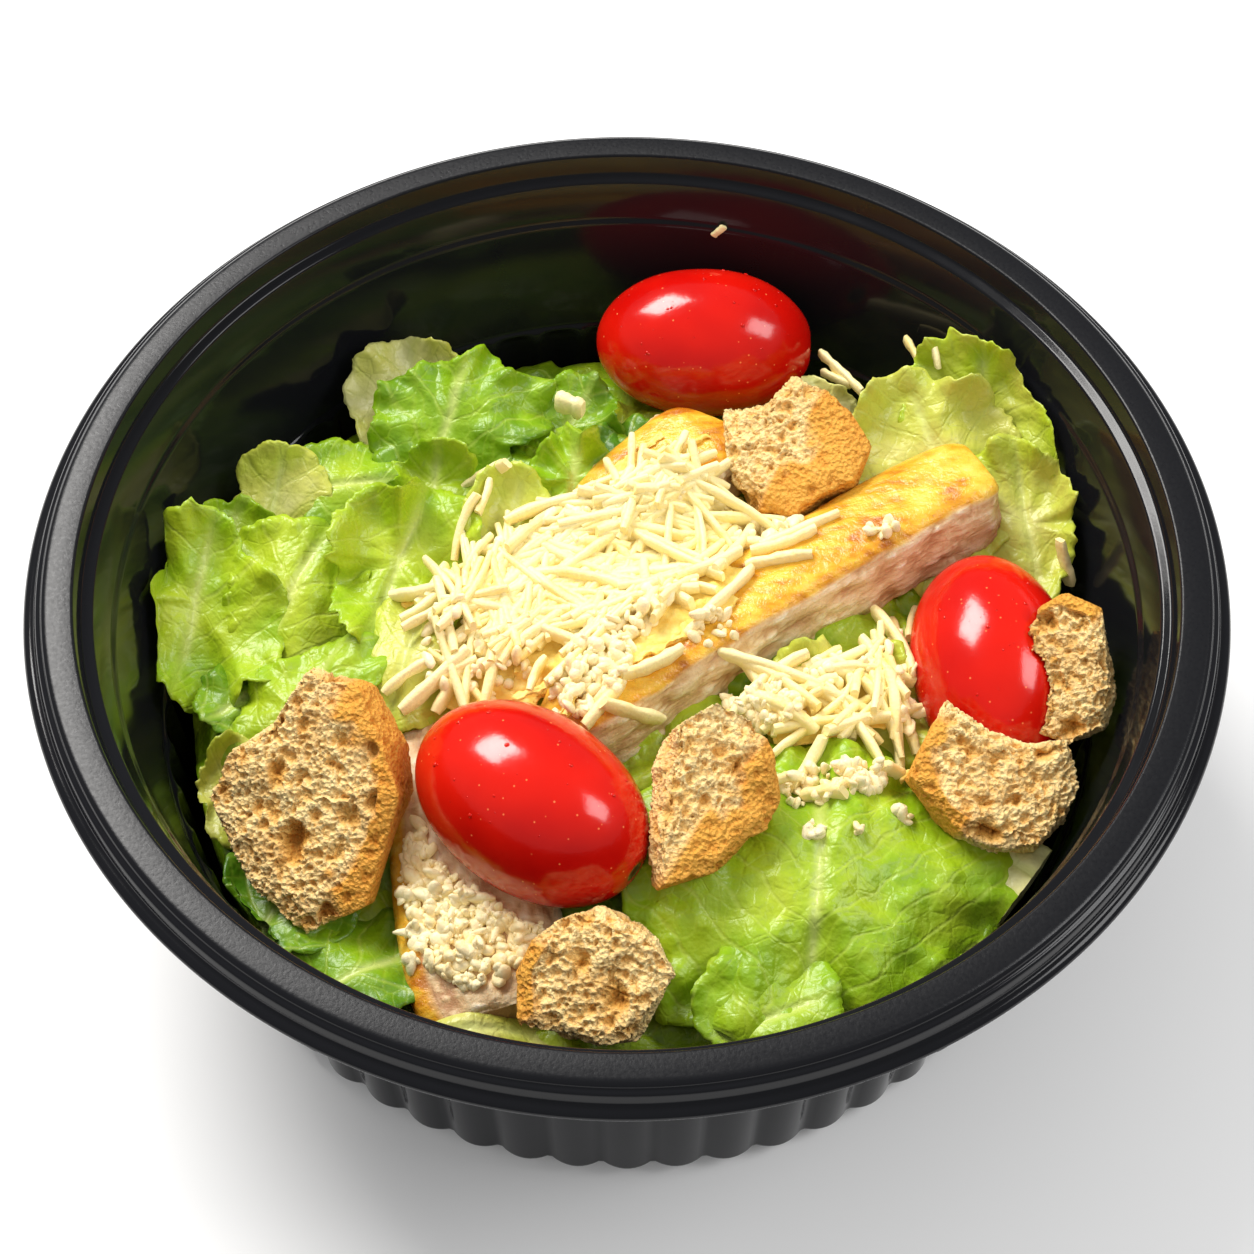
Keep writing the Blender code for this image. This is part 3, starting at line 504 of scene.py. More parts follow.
def chicken_mesh(name, stations, roll, skin_side):
    """Loft the piece and raise its skin, fibres and flakes."""
    form = bmesh.new()
    skin_layer = form.verts.layers.float.new("skin")
    pink_layer = form.verts.layers.float.new("pink")
    lump_layer = form.verts.layers.float.new("lump")
    strip_layer = form.loops.layers.uv.new("strip")
    rows = []
    run = 0.0
    for k in range(CHICKEN_RINGS):
        share = k / (CHICKEN_RINGS - 1)
        here = along_line(stations, share)
        ahead = along_line(stations, min(1.0, share + 0.01)) - along_line(stations, max(0.0, share - 0.01))
        along = Vector(ahead[:3]).normalized()
        side = along.cross(Vector((0, 0, 1))).normalized()
        side.rotate(Matrix.Rotation(math.radians(roll), 3, along))
        up = side.cross(along)
        centre = Vector(here[:3])
        if rows:
            run += (centre - last).length
        last = centre
        row = []
        for i in range(CHICKEN_SIDES):
            angle = math.tau * i / CHICKEN_SIDES
            c, s = math.cos(angle), math.sin(angle)
            reach = (abs(c) ** CHICKEN_CORNER + abs(s) ** CHICKEN_CORNER) ** (-1 / CHICKEN_CORNER)
            a, b = c * reach, s * reach
            out = (side * (a * abs(a) ** 2 / here[3]) + up * (b * abs(b) ** 2 / here[4])).normalized()
            point = centre + side * a * here[3] + up * b * here[4]
            facing = a * skin_side[0] + b * skin_side[1]
            ragged = noise.noise(Vector((run / 0.006, a, b + 5)))
            skin = step_of(facing + 0.10 * ragged, 0.70, 0.80)
            place = Vector((run / 0.0085, a * here[3] / 0.0013, b * here[4] / 0.0013))
            fibre = 1 - 2 * abs(noise.noise(place))
            bend = noise.noise(point / 0.0030)
            spot = Vector((run / 0.0024 + bend, a * here[3] / 0.0017 + bend, b * here[4] / 0.0015))
            spans = noise.voronoi(spot)[0]
            uneven = 0.55 + 0.9 * step_of(noise.noise(point / 0.0042), -0.3, 0.5)
            lump = step_of(spans[1] - spans[0], 0.0, 0.7) * uneven
            flake = noise.noise(Vector((run / 0.0045, a * here[3] / 0.0030, b * here[4] / 0.0024 + 9)))
            meat = FIBRE_DEPTH * (0.25 * fibre + 1.3 * flake + 0.6 * (lump - 0.5))
            crease = noise.noise(Vector((run / 0.010, a * here[3] / 0.0035, b * here[4] / 0.0035)))
            rind = SKIN_DEPTH * (crease + 0.45 * noise.noise(point / 0.0017) + 0.6)
            vertex = form.verts.new(point + out * (meat * (1 - skin) + rind * skin))
            vertex[skin_layer] = skin
            vertex[lump_layer] = 0.55 * lump + 0.45 * (0.5 + flake)
            vertex[pink_layer] = step_of(share, 0.50, 1.0) * step_of(0.35 - b, 0.0, 0.7) * step_of(a, 0.2, 0.9)
            row.append(vertex)
        rows.append((run, row))
    for (run0, lower), (run1, upper) in zip(rows, rows[1:]):
        for i in range(CHICKEN_SIDES):
            j = (i + 1) % CHICKEN_SIDES
            face = form.faces.new((lower[i], lower[j], upper[j], upper[i]))
            turns = (i, i + 1, i + 1, i)
            for loop, run_here, turn in zip(face.loops, (run0, run0, run1, run1), turns):
                loop[strip_layer].uv = (run_here, turn / CHICKEN_SIDES * 0.05)
    for _, row in (rows[0], rows[-1]):
        close_end(form, row, skin_layer)
    bmesh.ops.recalc_face_normals(form, faces=form.faces)
    return mesh_from(form, name)


def close_end(form, row, layer):
    """Close an open end with shrinking rings that bulge a little and stay uneven."""
    middle = sum((vertex.co for vertex in row), Vector()) / len(row)
    outward = (row[0].co - middle).cross(row[len(row) // 4].co - middle).normalized()
    if (middle - Vector((0, 0, middle.z))).dot(outward) < 0 and middle.length > 0.03:
        outward = -outward
    ring = row
    for share in (0.93, 0.82, 0.68, 0.52, 0.36, 0.20, 0.07):
        inner = []
        for vertex in row:
            point = middle + (vertex.co - middle) * share
            point += outward * 0.0009 * (1 - share ** 3)
            point += outward * 0.0004 * noise.noise(point / 0.0016)
            made = form.verts.new(point)
            made[layer] = vertex[layer] * step_of(share, 0.80, 0.95)
            inner.append(made)
        for i in range(len(row)):
            j = (i + 1) % len(row)
            form.faces.new((ring[i], ring[j], inner[j], inner[i]))
        ring = inner
    form.faces.new(ring)


def chicken_meat():
    """Golden seasoned skin over pale, stringy, slightly pink cut meat."""
    made, tree, shader = finish("cooked_chicken", Subsurface_Weight=0.12, Specular_IOR_Level=0.5,
                                Subsurface_Radius=(0.003, 0.0015, 0.0008), Subsurface_Scale=0.6)
    blotch, grain = mottled(tree, 130, 1100)
    skin, pink, lump = marked(tree, "skin"), marked(tree, "pink"), marked(tree, "lump")
    strip = attach(tree, "ShaderNodeUVMap", uv_map="strip").outputs[0]
    stretched = attach(tree, "ShaderNodeMapping", {"Vector": strip, "Scale": (260.0, 1500.0, 1.0)}).outputs[0]
    string = noise_of(tree, stretched, 1.0, 3.0)[0]
    streak = noise_of(tree, place_on(tree, (1.0, 2.2, 1.0), (0, 0, 0.55)), 240.0, 3.0)[0]
    glaze = plus(tree, times(tree, blotch, 0.5), times(tree, streak, 0.5))
    golden = ramp_of(tree, glaze, ((0.37, (0.46, 0.14, 0.005)), (0.47, (0.76, 0.35, 0.018)),
                                   (0.56, (0.86, 0.50, 0.050)), (0.72, (0.91, 0.66, 0.14))))
    pepper = ramp_of(tree, grain, ((0.62, 0.0), (0.72, 0.6)))
    peppered = blend_of(tree, pepper, golden, (0.42, 0.17, 0.02, 1))
    # Painted shade: the cut meat darkens to brown where its lumps and flakes sink between the raised lumps;
    # the stringy noise adds random tone.
    torn = plus(tree, times(tree, lump, 0.75), times(tree, string, 0.35))
    meat = ramp_of(tree, torn, ((0.20, (0.52, 0.27, 0.12)), (0.38, (0.72, 0.48, 0.24)),
                                (0.62, (0.86, 0.68, 0.42)), (0.85, (0.93, 0.81, 0.60))))
    flushed = blend_of(tree, times(tree, pink, 0.80), meat, (0.42, 0.14, 0.09, 1))
    tree.links.new(blend_of(tree, skin, flushed, peppered), shader.inputs["Base Color"])
    tree.links.new(plus(tree, span_of(tree, skin, result=(0.42, 0.20)), times(tree, grain, 0.12)),
                   shader.inputs["Roughness"])
    strung = times(tree, string, sum_of(tree, "SUBTRACT", 1.15, skin))
    bumped(tree, shader, plus(tree, strung, grain, streak), 0.00024)
    return made


meat = chicken_meat()
for name, stations in CHICKEN.items():
    piece = placed(name + "_breast", chicken_mesh(name, stations, CHICKEN_ROLL[name], SKIN_SIDE[name]), meat)
    piece.data.shade_smooth()
    hand_over(piece, "chicken", name)

# Croutons. Six torn chunks of toasted bread: an open crumb of holes and ragged
# walls, with painted shade deepening its colour inside its holes, and a golden crust on the arcs that
# were the outside of the loaf. Each is its solid made fine, then opened with holes.
CROUTON_STEP = 0.00030
CROUTON_SMOOTHING = 5
HOLLOW_DEPTH = 0.0026
CROUTONS = {
    # centre, facing, the arc of crust as start and end in degrees anticlockwise from the right, half the
    # torn face's width, and how far the crust reaches over the face
    "crouton_left": ((-0.0480, -0.0305, 0.0435), (-0.20, -0.58, 0.79), (-75, 72), 0.0155, 0.48),
    "crouton_middle": ((0.0120, -0.0350, 0.0500), (0.25, -0.45, 0.86), (-125, 50), 0.0105, 0.95),
    "crouton_bottom": ((-0.0038, -0.0600, 0.0420), (-0.10, -0.50, 0.86), (150, 215), 0.0105, 0.30),
    "crouton_right_low": ((0.0560, -0.0290, 0.0440), (0.05, -0.40, 0.92), (130, 235), 0.0115, 0.36),
    "crouton_right_high": ((0.0690, -0.0110, 0.0490), (-0.30, -0.50, 0.81), (55, 120), 0.0095, 0.25),
    "crouton_top": ((0.0275, 0.0330, 0.0475), (-0.10, -0.40, 0.91), (-120, 60), 0.0100, 0.85),
}


def axes_of(facing):
    """Right, up and outward directions of a flat piece that faces a given way."""
    normal = Vector(facing).normalized()
    right = (Vector((1, 0, 0)) - normal * normal.x).normalized()
    return right, normal.cross(right), normal


def fine_copy(node, step, smoothing):
    """The outer form of a solid as a fine even mesh."""
    mesh = frame["nodes"][node].data.copy()
    mesh.materials.clear()
    face_outwards(mesh)
    made = placed(node + "_fine", mesh)
    remesh = made.modifiers.new("Even", "REMESH")
    remesh.mode = "VOXEL"
    remesh.voxel_size = step
    soften = made.modifiers.new("Soften", "SMOOTH")
    soften.factor = 0.5
    soften.iterations = smoothing
    settle(made)
    return made


def points_of(mesh):
    """Every point of a mesh and its outward direction, read once."""
    flat = np.empty(len(mesh.vertices) * 3)
    mesh.vertices.foreach_get("co", flat)
    out = np.empty(len(mesh.vertices) * 3)
    mesh.vertex_normals.foreach_get("vector", out)
    return [Vector(row) for row in flat.reshape(-1, 3)], [Vector(row) for row in out.reshape(-1, 3)]


def cell_of(point, size):
    """How deep a point lies in a round cell, from 1 at its middle to 0, and the cell's own draw."""
    spans, middles = noise.voronoi(point / size)
    draw = noise.cell(middles[0] * 37.1)
    return max(0.0, 1.0 - spans[0] / 0.52), draw


def crumb_depth(point, crust):
    """How far the bread falls below its outer form at a place."""
    wide, wide_draw = cell_of(point, 0.0058)
    mid, mid_draw = cell_of(point + Vector((0.3, 0.1, 0.7)), 0.0027)
    small, _ = cell_of(point + Vector((0.5, 0.2, 0.9)), 0.0013)
    depth = 0.0
    ragged = noise.noise(point / 0.0021)
    warped = point + Vector((ragged, noise.noise(point / 0.0019 + Vector((7, 0, 0))), -ragged)) * 0.0011
    foam = noise.voronoi(warped / (0.0018 + 0.0003 * round(noise.noise(point / 0.009) * 2)))[0]
    froth = noise.voronoi(warped / 0.0010)[0]
    if wide_draw > 0.15:
        depth += 0.0021 * step_of(wide + 0.18 * ragged, 0.05, 0.80)
    if mid_draw > 0.0:
        depth += 0.0009 * step_of(mid + 0.15 * ragged, 0.0, 0.80)
    depth += (0.00060 * step_of(foam[1] - foam[0], 0.05, 0.55)
              + 0.00050 * step_of(froth[1] - froth[0], 0.05, 0.6))
    depth += 0.00030 * abs(noise.noise(point / 0.0010)) + 0.00030 * (ragged + 0.6)
    baked = 0.00042 * step_of(mid, 0.2, 0.8) + 0.00030 * step_of(small, 0.0, 0.8)
    return depth * (1 - crust) + baked * crust


def crouton_form(name, centre, facing, arc, half_width, spread):
    """Open the holes of one crouton and mark its crust and its hollows."""
    piece = fine_copy(name, CROUTON_STEP, CROUTON_SMOOTHING)
    mesh = piece.data
    right, up, _ = axes_of(facing)
    start, end = math.radians(arc[0]), math.radians(arc[1])
    points, normals = points_of(mesh)
    crusts, hollows, moved = [], [], []
    for point, outward in zip(points, normals):
        out = point - Vector(centre)
        x, y = out.dot(right), out.dot(up)
        angle = math.atan2(y, x)
        turn = (angle - start) % math.tau
        past = turn - (end - start)
        inside = min(turn, -past) if past < 0 else -min(past, math.tau - turn)
        rim = outward.dot(right * math.cos(angle) + up * math.sin(angle))
        past = math.hypot(x, y) / half_width - 1.0
        edge = rim + 0.25 * noise.noise(point / 0.0025) + 0.80 * past + spread
        crust = step_of(inside, -0.10, 0.12) * step_of(edge, 0.22, 0.48)
        depth = crumb_depth(point, crust)
        crusts.append(crust)
        hollows.append(depth / HOLLOW_DEPTH)
        moved.extend(point - outward * depth)
    mesh.vertices.foreach_set("co", moved)
    for label, values in (("crust", crusts), ("hollow", hollows)):
        mesh.attributes.new(label, "FLOAT", "POINT").data.foreach_set("value", values)
    return piece


def toasted_crumb():
    """Bread crumb from cream to brown with the depth of its holes, which is painted shade, under a golden
    crust with the same painted shade in its hollows.
    """
    made, tree, shader = finish("toasted_bread", Subsurface_Weight=0.06, Specular_IOR_Level=0.25,
                                Subsurface_Radius=(0.002, 0.001, 0.0005), Subsurface_Scale=0.5)
    blotch, grain = mottled(tree, 120, 1500)
    crust, hollow = marked(tree, "crust"), marked(tree, "hollow")
    # Painted shade: the colour darkens with the depth of each hole, on crumb and crust alike.
    uneven = plus(tree, hollow, times(tree, sum_of(tree, "SUBTRACT", grain, 0.5), 0.45))
    crumb = ramp_of(tree, uneven, ((0.08, (1.00, 0.74, 0.34)), (0.38, (0.92, 0.55, 0.17)),
                                   (0.72, (0.76, 0.39, 0.075)), (1.00, (0.54, 0.22, 0.030))))
    tan = ramp_of(tree, blotch, ((0.45, 0.0), (0.68, 0.50)))
    tanned = blend_of(tree, tan, crumb, (0.70, 0.34, 0.070, 1))
    baked = ramp_of(tree, plus(tree, uneven, times(tree, blotch, 0.35)),
                    ((0.12, (0.82, 0.40, 0.060)), (0.40, (0.66, 0.25, 0.025)), (0.75, (0.36, 0.11, 0.009))))
    tree.links.new(blend_of(tree, crust, tanned, baked), shader.inputs["Base Color"])
    tree.links.new(plus(tree, times(tree, grain, 0.2), span_of(tree, crust, result=(0.72, 0.52))),
                   shader.inputs["Roughness"])
    pores = attach(tree, "ShaderNodeTexVoronoi", {"Vector": place_on(tree), "Scale": 1500.0})
    bumped(tree, shader, plus(tree, pores.outputs["Distance"], grain), 0.00050)
    return made


bread = toasted_crumb()
for name, sizes in CROUTONS.items():
    chunk = crouton_form(name, *sizes)
    chunk.name = name + "_bread"
    chunk.data.materials.append(bread)
    chunk.data.shade_smooth()
    hand_over(chunk, "bread", name)

# Lettuce. Torn leaves of green and pale iceberg lettuce, thin and crisp, with
# ruffled margins, a raised net of veins and paler ribs. Each leaf is a thin sheet
# shaped about its own centre; the heap stands on a core of crumpled leaf.
LEAVES = {
    # centre, facing, reach of the margin in mm at equal angles from the right,
    # cup, ruffle, ruffles; then the rib's angle, greenness, frill and puckering
    "left_outer": ((-0.0700, 0.0065, 0.0420), (-0.05, -0.45, 0.89),
                   (16, 11, 17, 10, 8, 11, 17, 18), 0.001, 0.0024, 5, 80, 0.62, 0.8, 1.0),
    "left_folded": ((-0.0540, 0.0075, 0.0440), (0.05, -0.45, 0.89),
                    (12, 15, 11, 13, 10, 12, 16, 14), -0.003, 0.0018, 4, 65, 0.55, 0.8, 1.0),
    "left_bright": ((-0.0370, 0.0130, 0.0450), (0.10, -0.40, 0.91),
                    (12, 14, 11, 13, 10, 13, 18, 14), 0.002, 0.0026, 5, 250, 0.60, 1.2, 0.8),
    "left_olive": ((-0.0590, 0.0305, 0.0400), (0.10, -0.50, 0.86),
                   (9, 9, 8, 8, 6, 9, 17, 15), 0.001, 0.0006, 3, 80, 0.30, 0.3, 0.6),
    "left_rolled": ((-0.0480, 0.0320, 0.0410), (0.05, -0.30, 0.95),
                    (11, 10, 8, 9, 8, 9, 12, 12), -0.004, 0.0010, 3, 10, 0.72, 0.4, 0.6),
    "left_small": ((-0.0670, 0.0230, 0.0390), (0.25, -0.35, 0.90),
                   (9, 6, 5, 5, 5, 8, 14, 17), 0.001, 0.0010, 4, 60, 0.70, 0.7, 0.7),
    "left_dark": ((-0.0625, -0.0090, 0.0360), (0.15, -0.25, 0.95),
                  (14, 9, 7, 7, 6, 6, 6, 12), -0.001, 0.0014, 4, 40, 0.85, 0.6, 1.0),
    "left_long": ((-0.0525, -0.0130, 0.0400), (-0.10, -0.30, 0.95),
                  (12, 18, 9, 9, 9, 16, 12, 12), -0.003, 0.0014, 5, 60, 0.66, 0.5, 0.8),
    "left_rib": ((-0.0350, -0.0040, 0.0440), (-0.10, -0.25, 0.96),
                 (9, 11, 11, 10, 11, 12, 13, 10), -0.004, 0.0010, 3, 75, 0.28, 0.3, 0.5),
    "left_wall": ((-0.0630, -0.0240, 0.0340), (0.20, -0.40, 0.89),
                  (14, 8, 9, 5, 4, 5, 9, 12), 0.000, 0.0010, 3, 60, 0.30, 0.5, 0.6),
    "back_grey": ((-0.0385, 0.0560, 0.0380), (0.05, -0.45, 0.89),
                  (10, 9, 8, 9, 10, 12, 16, 14), 0.002, 0.0010, 4, 80, 0.12, 0.4, 0.6),
    "back_spiky": ((-0.0305, 0.0430, 0.0440), (0.05, -0.40, 0.92),
                   (17, 19, 12, 14, 10, 11, 11, 13, 13, 13, 14, 17, 17, 16, 14, 13),
                   -0.003, 0.0024, 5, 75, 0.80, 1.0, 0.9),
    "back_curl": ((-0.0320, 0.0280, 0.0450), (0.00, -0.50, 0.86),
                  (7, 8, 7, 7, 7, 9, 14, 10), 0.001, 0.0022, 5, 85, 0.62, 1.1, 0.7),
    "back_dark": ((-0.0105, 0.0460, 0.0380), (0.05, -0.35, 0.93),
                  (9, 10, 9, 9, 8, 11, 14, 12), 0.001, 0.0018, 5, 60, 0.86, 0.9, 1.0),
    "back_frill": ((-0.0090, 0.0310, 0.0430), (0.10, -0.45, 0.89),
                   (7, 8, 8, 8, 7, 9, 13, 9), 0.000, 0.0026, 6, 85, 0.70, 1.5, 1.0),
    "back_rolled": ((-0.0010, 0.0395, 0.0390), (0.10, -0.35, 0.93),
                    (13, 9, 7, 7, 6, 8, 12, 13), -0.002, 0.0012, 4, 20, 0.90, 0.5, 0.6),
    "back_loop": ((-0.0185, 0.0200, 0.0465), (0.20, -0.45, 0.87),
                  (5, 7, 9, 9, 8, 9, 12, 8), 0.001, 0.0010, 3, 80, 0.35, 0.5, 0.5),
    "right_upper": ((0.0590, 0.0430, 0.0490), (-0.25, -0.60, 0.76),
                    (10, 9, 11, 12, 11, 14, 27, 18), 0.002, 0.0018, 5, 80, 0.42, 0.9, 0.9),
    "right_pale": ((0.0510, 0.0355, 0.0470), (0.05, -0.45, 0.89),
                   (13, 12, 10, 14, 15, 15, 26, 18), 0.001, 0.0016, 5, 110, 0.25, 1.0, 0.8),
    "right_lobe": ((0.0660, 0.0215, 0.0435), (-0.30, -0.45, 0.84),
                   (8, 9, 14, 15, 16, 18, 18, 9), 0.000, 0.0022, 6, 100, 0.32, 1.1, 0.8),
    "right_strip": ((0.0345, 0.0490, 0.0410), (0.10, -0.45, 0.89),
                    (5, 3, 3, 7, 5, 8, 15, 10), 0.000, 0.0006, 3, 120, 0.10, 0.3, 0.4),
    "front_large": ((0.0285, -0.0465, 0.0440), (0.08, -0.18, 0.98),
                    (32, 27, 23, 27, 31, 27, 21, 25), -0.008, 0.0032, 6, 85, 0.68, 1.0, 1.3),
    "front_curled": ((0.0190, -0.0660, 0.0380), (0.00, -0.30, 0.95),
                     (12, 14, 14, 10, 9, 6, 6, 6), -0.002, 0.0010, 3, 20, 0.70, 0.5, 0.6),
    "front_left": ((-0.0555, -0.0475, 0.0335), (-0.05, 0.10, 0.99),
                   (13, 15, 15, 10, 7, 7, 7, 7), -0.002, 0.0016, 4, 60, 0.96, 0.7, 0.9),
    "front_bed": ((-0.0410, -0.0560, 0.0335), (0.00, 0.15, 0.99),
                  (11, 11, 14, 13, 10, 8, 8, 9), -0.003, 0.0016, 4, 30, 0.94, 0.7, 0.9),
    "front_pale": ((-0.0220, -0.0650, 0.0330), (0.00, 0.10, 0.99),
                   (10, 9, 14, 10, 11, 7, 6, 7), -0.004, 0.0006, 3, 10, 0.22, 0.3, 0.5),
    "right_white": ((0.0600, -0.0410, 0.0390), (-0.25, -0.20, 0.95),
                    (6, 5, 5, 12, 16, 13, 9, 6), -0.002, 0.0006, 3, 150, 0.04, 0.3, 0.4),
    "middle_pale": ((0.0345, -0.0130, 0.0400), (0.10, -0.30, 0.95),
                    (14, 13, 10, 13, 12, 11, 14, 13), -0.001, 0.0022, 5, 70, 0.30, 1.0, 0.9),
}
LEAF_GROUPS = {"left": "leaves_left", "back": "leaves_back", "right": "leaves_right",
               "front": "leaves_front", "middle": "leaves_right"}
WALL_RADII, WALL_HEIGHTS = zip(*BOWL_INSIDE[2:])
LEAF_THICKNESS = 0.00050
LEAF_WAVE = 0.0018
LEAF_GRAIN = 0.010
FOLD_DEPTH = 0.0023
WALL_GAP = 0.0016
LEAF_SECTORS = 168
FRILL_DEPTH = 0.0030
TEETH = 0.0011
PUCKER_DEPTH = 0.00045


def reach_at(reaches, angle):
    """Reach of an uneven outline at an angle, in metres, between its stated values."""
    place = (angle % math.tau) / math.tau * len(reaches)
    i = int(place)
    part = place - i
    return (reaches[i % len(reaches)] * (1 - part) + reaches[(i + 1) % len(reaches)] * part) / 1000


def kept_inside(point):
    """A leaf point held off the bowl's wall: past it the leaf turns up along the wall."""
    out = math.hypot(point.x, point.y)
    limit = float(np.interp(point.z * 1000, WALL_HEIGHTS, WALL_RADII)) / 1000 - WALL_GAP
    if out <= limit:
        return point
    return Vector((point.x * limit / out, point.y * limit / out, point.z + 0.7 * (out - limit)))


def leaf_into(form, layers, row, seed):
    """Add one leaf to a form: a sheet about its centre, given thickness, with its own vein map."""
    centre, facing, reaches, cup, ruffle, ruffles, rib, green, frill, pucker = row
    right, up, normal = axes_of(facing)
    phase = random.Random(seed).uniform(0, math.tau)
    rings = max(10, int(max(reaches) * 1.1))
    ribbed = Vector((math.cos(math.radians(rib)), math.sin(math.radians(rib))))
    shift = Vector((seed * 17.3, seed * 5.1, 0))

    def point_at(share, angle):
        """A point of the sheet with its place on the vein map, its share of the reach and its groove."""
        plain = reach_at(reaches, angle)
        around = Vector((math.cos(angle), math.sin(angle), 0))
        lobe = 0.6 - 2 * abs(noise.noise(around * 1.7 + shift))
        teeth = 0.6 - 2 * abs(noise.noise(around * plain / 0.0033 + shift))
        teeth *= 0.35 + 1.5 * step_of(noise.noise(around * 1.9 - shift), -0.25, 0.35)
        fine = 0.6 - 2 * abs(noise.noise(around * plain / 0.0014 - shift))
        torn = plain * (0.17 * lobe * min(1.0, frill)) + TEETH * (0.25 + 0.55 * frill) * teeth
        torn += 0.0004 * fine
        reach = (plain + torn * share ** 3) * share
        x, y = reach * math.cos(angle), reach * math.sin(angle)
        flat = Vector(centre) + right * x + up * y
        height = cup * share ** 2 + ruffle * share ** 2 * (0.6 * math.sin(ruffles * angle + phase)
                                                           + 1.3 * noise.noise(around * ruffles / 2.6 + shift))
        height += LEAF_WAVE * noise.noise(flat / LEAF_GRAIN)
        edge = step_of(share, 0.50, 1.0)
        height += frill * edge * (FRILL_DEPTH * noise.noise(around * plain / 0.0052 + shift) * edge
                                  + 0.0009 * noise.noise(around * plain / 0.0022 + shift) * edge
                                  + 0.0016 * edge)
        along = x * ribbed.x + y * ribbed.y
        across = y * ribbed.x - x * ribbed.y
        cell = noise.voronoi(Vector((across / 0.0062, (along - abs(across) * 0.8) / 0.0050, 0)) + shift)[0]
        blister = step_of(cell[1] - cell[0], 0.0, 0.9) + 1.1 * noise.noise(Vector((x, y, 0)) / 0.0030 + shift)
        height += pucker * PUCKER_DEPTH * blister * (0.5 + 0.5 * share)
        fold = noise.noise(Vector((across / 0.0058, along / 0.0160, seed)))
        height += FOLD_DEPTH * (0.4 + 0.6 * share) * fold
        groove = math.exp(-(across / 0.0009) ** 2) * step_of(0.9 - share, 0.0, 0.5)
        height -= 0.0006 * groove
        return kept_inside(flat + normal * height), (across, along), share, groove

    hub = point_at(0.0, 0.0)
    grid = [[point_at((k + 1) / rings, math.tau * i / LEAF_SECTORS) for i in range(LEAF_SECTORS)]
            for k in range(rings)]
    vein_map, share_layer, green_layer, rib_layer = layers
    corners = {}
    sheets = []
    for offset in (LEAF_THICKNESS / 2, -LEAF_THICKNESS / 2):
        def lay(sample):
            """One point on this side of the sheet, thinner at the margin."""
            vertex = form.verts.new(sample[0] + normal * offset * (1.0 if sample[2] < 0.999 else 0.35))
            vertex[share_layer] = sample[2]
            vertex[green_layer] = green
            vertex[rib_layer] = sample[3]
            corners[vertex] = (sample[1][0] + seed * 0.1, sample[1][1])
            return vertex
        sheets.append((lay(hub), [[lay(sample) for sample in ring] for ring in grid]))

    def cover(points):
        """One smooth face with its corners on the vein map."""
        face = form.faces.new(points)
        face.smooth = True
        for loop in face.loops:
            loop[vein_map].uv = corners[loop.vert]

    for side, (top, ringed) in enumerate(sheets):
        for i in range(LEAF_SECTORS):
            j = (i + 1) % LEAF_SECTORS
            tri = (top, ringed[0][i], ringed[0][j])
            cover(tri if side == 0 else tri[::-1])
            for inner, outer in zip(ringed, ringed[1:]):
                quad = (inner[i], outer[i], outer[j], inner[j])
                cover(quad if side == 0 else quad[::-1])
    for i in range(LEAF_SECTORS):
        j = (i + 1) % LEAF_SECTORS
        cover((sheets[0][1][-1][i], sheets[1][1][-1][i], sheets[1][1][-1][j], sheets[0][1][-1][j]))


def centred(tree, colour):
    """A noise colour as a vector about zero."""
    return attach(tree, "ShaderNodeVectorMath", {0: colour, 1: (0.5, 0.5, 0.5)},
                  operation="SUBTRACT").outputs[0]


def vein_group():
    """A leaf's veins from its own map: a middle rib, slanting side veins and a fine net."""
    group, source = new_group("leaf_veins", "Map", ("Side veins per metre", "Net cells per metre"),
                              ("Veins", "Net"))
    pushed = centred(group, noise_of(group, source["Map"], 130.0, 1.0)[1])
    bent = attach(group, "ShaderNodeVectorMath", {0: pushed, 1: (0.0042, 0.0042, 0.0), 2: source["Map"]},
                  operation="MULTIPLY_ADD").outputs[0]
    axes = axes_in(group, bent)
    own_middle = times(group, sum_of(group, "ROUND", times(group, axes[0], 10.0)), 0.1)
    across = sum_of(group, "ABSOLUTE", sum_of(group, "SUBTRACT", axes[0], own_middle))
    slant = sum_of(group, "SUBTRACT", axes[1], times(group, across, 0.85))
    wave = sum_of(group, "PINGPONG", times(group, slant, source[1]), 0.5)
    side = ramp_of(group, wave, ((0.015, 1.0), (0.075, 0.0)))
    middle = ramp_of(group, times(group, across, 100.0), ((0.03, 1.0), (0.10, 0.0)))
    cells = attach(group, "ShaderNodeTexVoronoi", {"Vector": bent, "Scale": source[2]},
                   feature="DISTANCE_TO_EDGE").outputs["Distance"]
    net = ramp_of(group, cells, ((0.01, 1.0), (0.09, 0.0)))
    attach(group, "NodeGroupOutput", {"Veins": sum_of(group, "MAXIMUM", side, middle), "Net": net})
    return group


veins_of = vein_group()


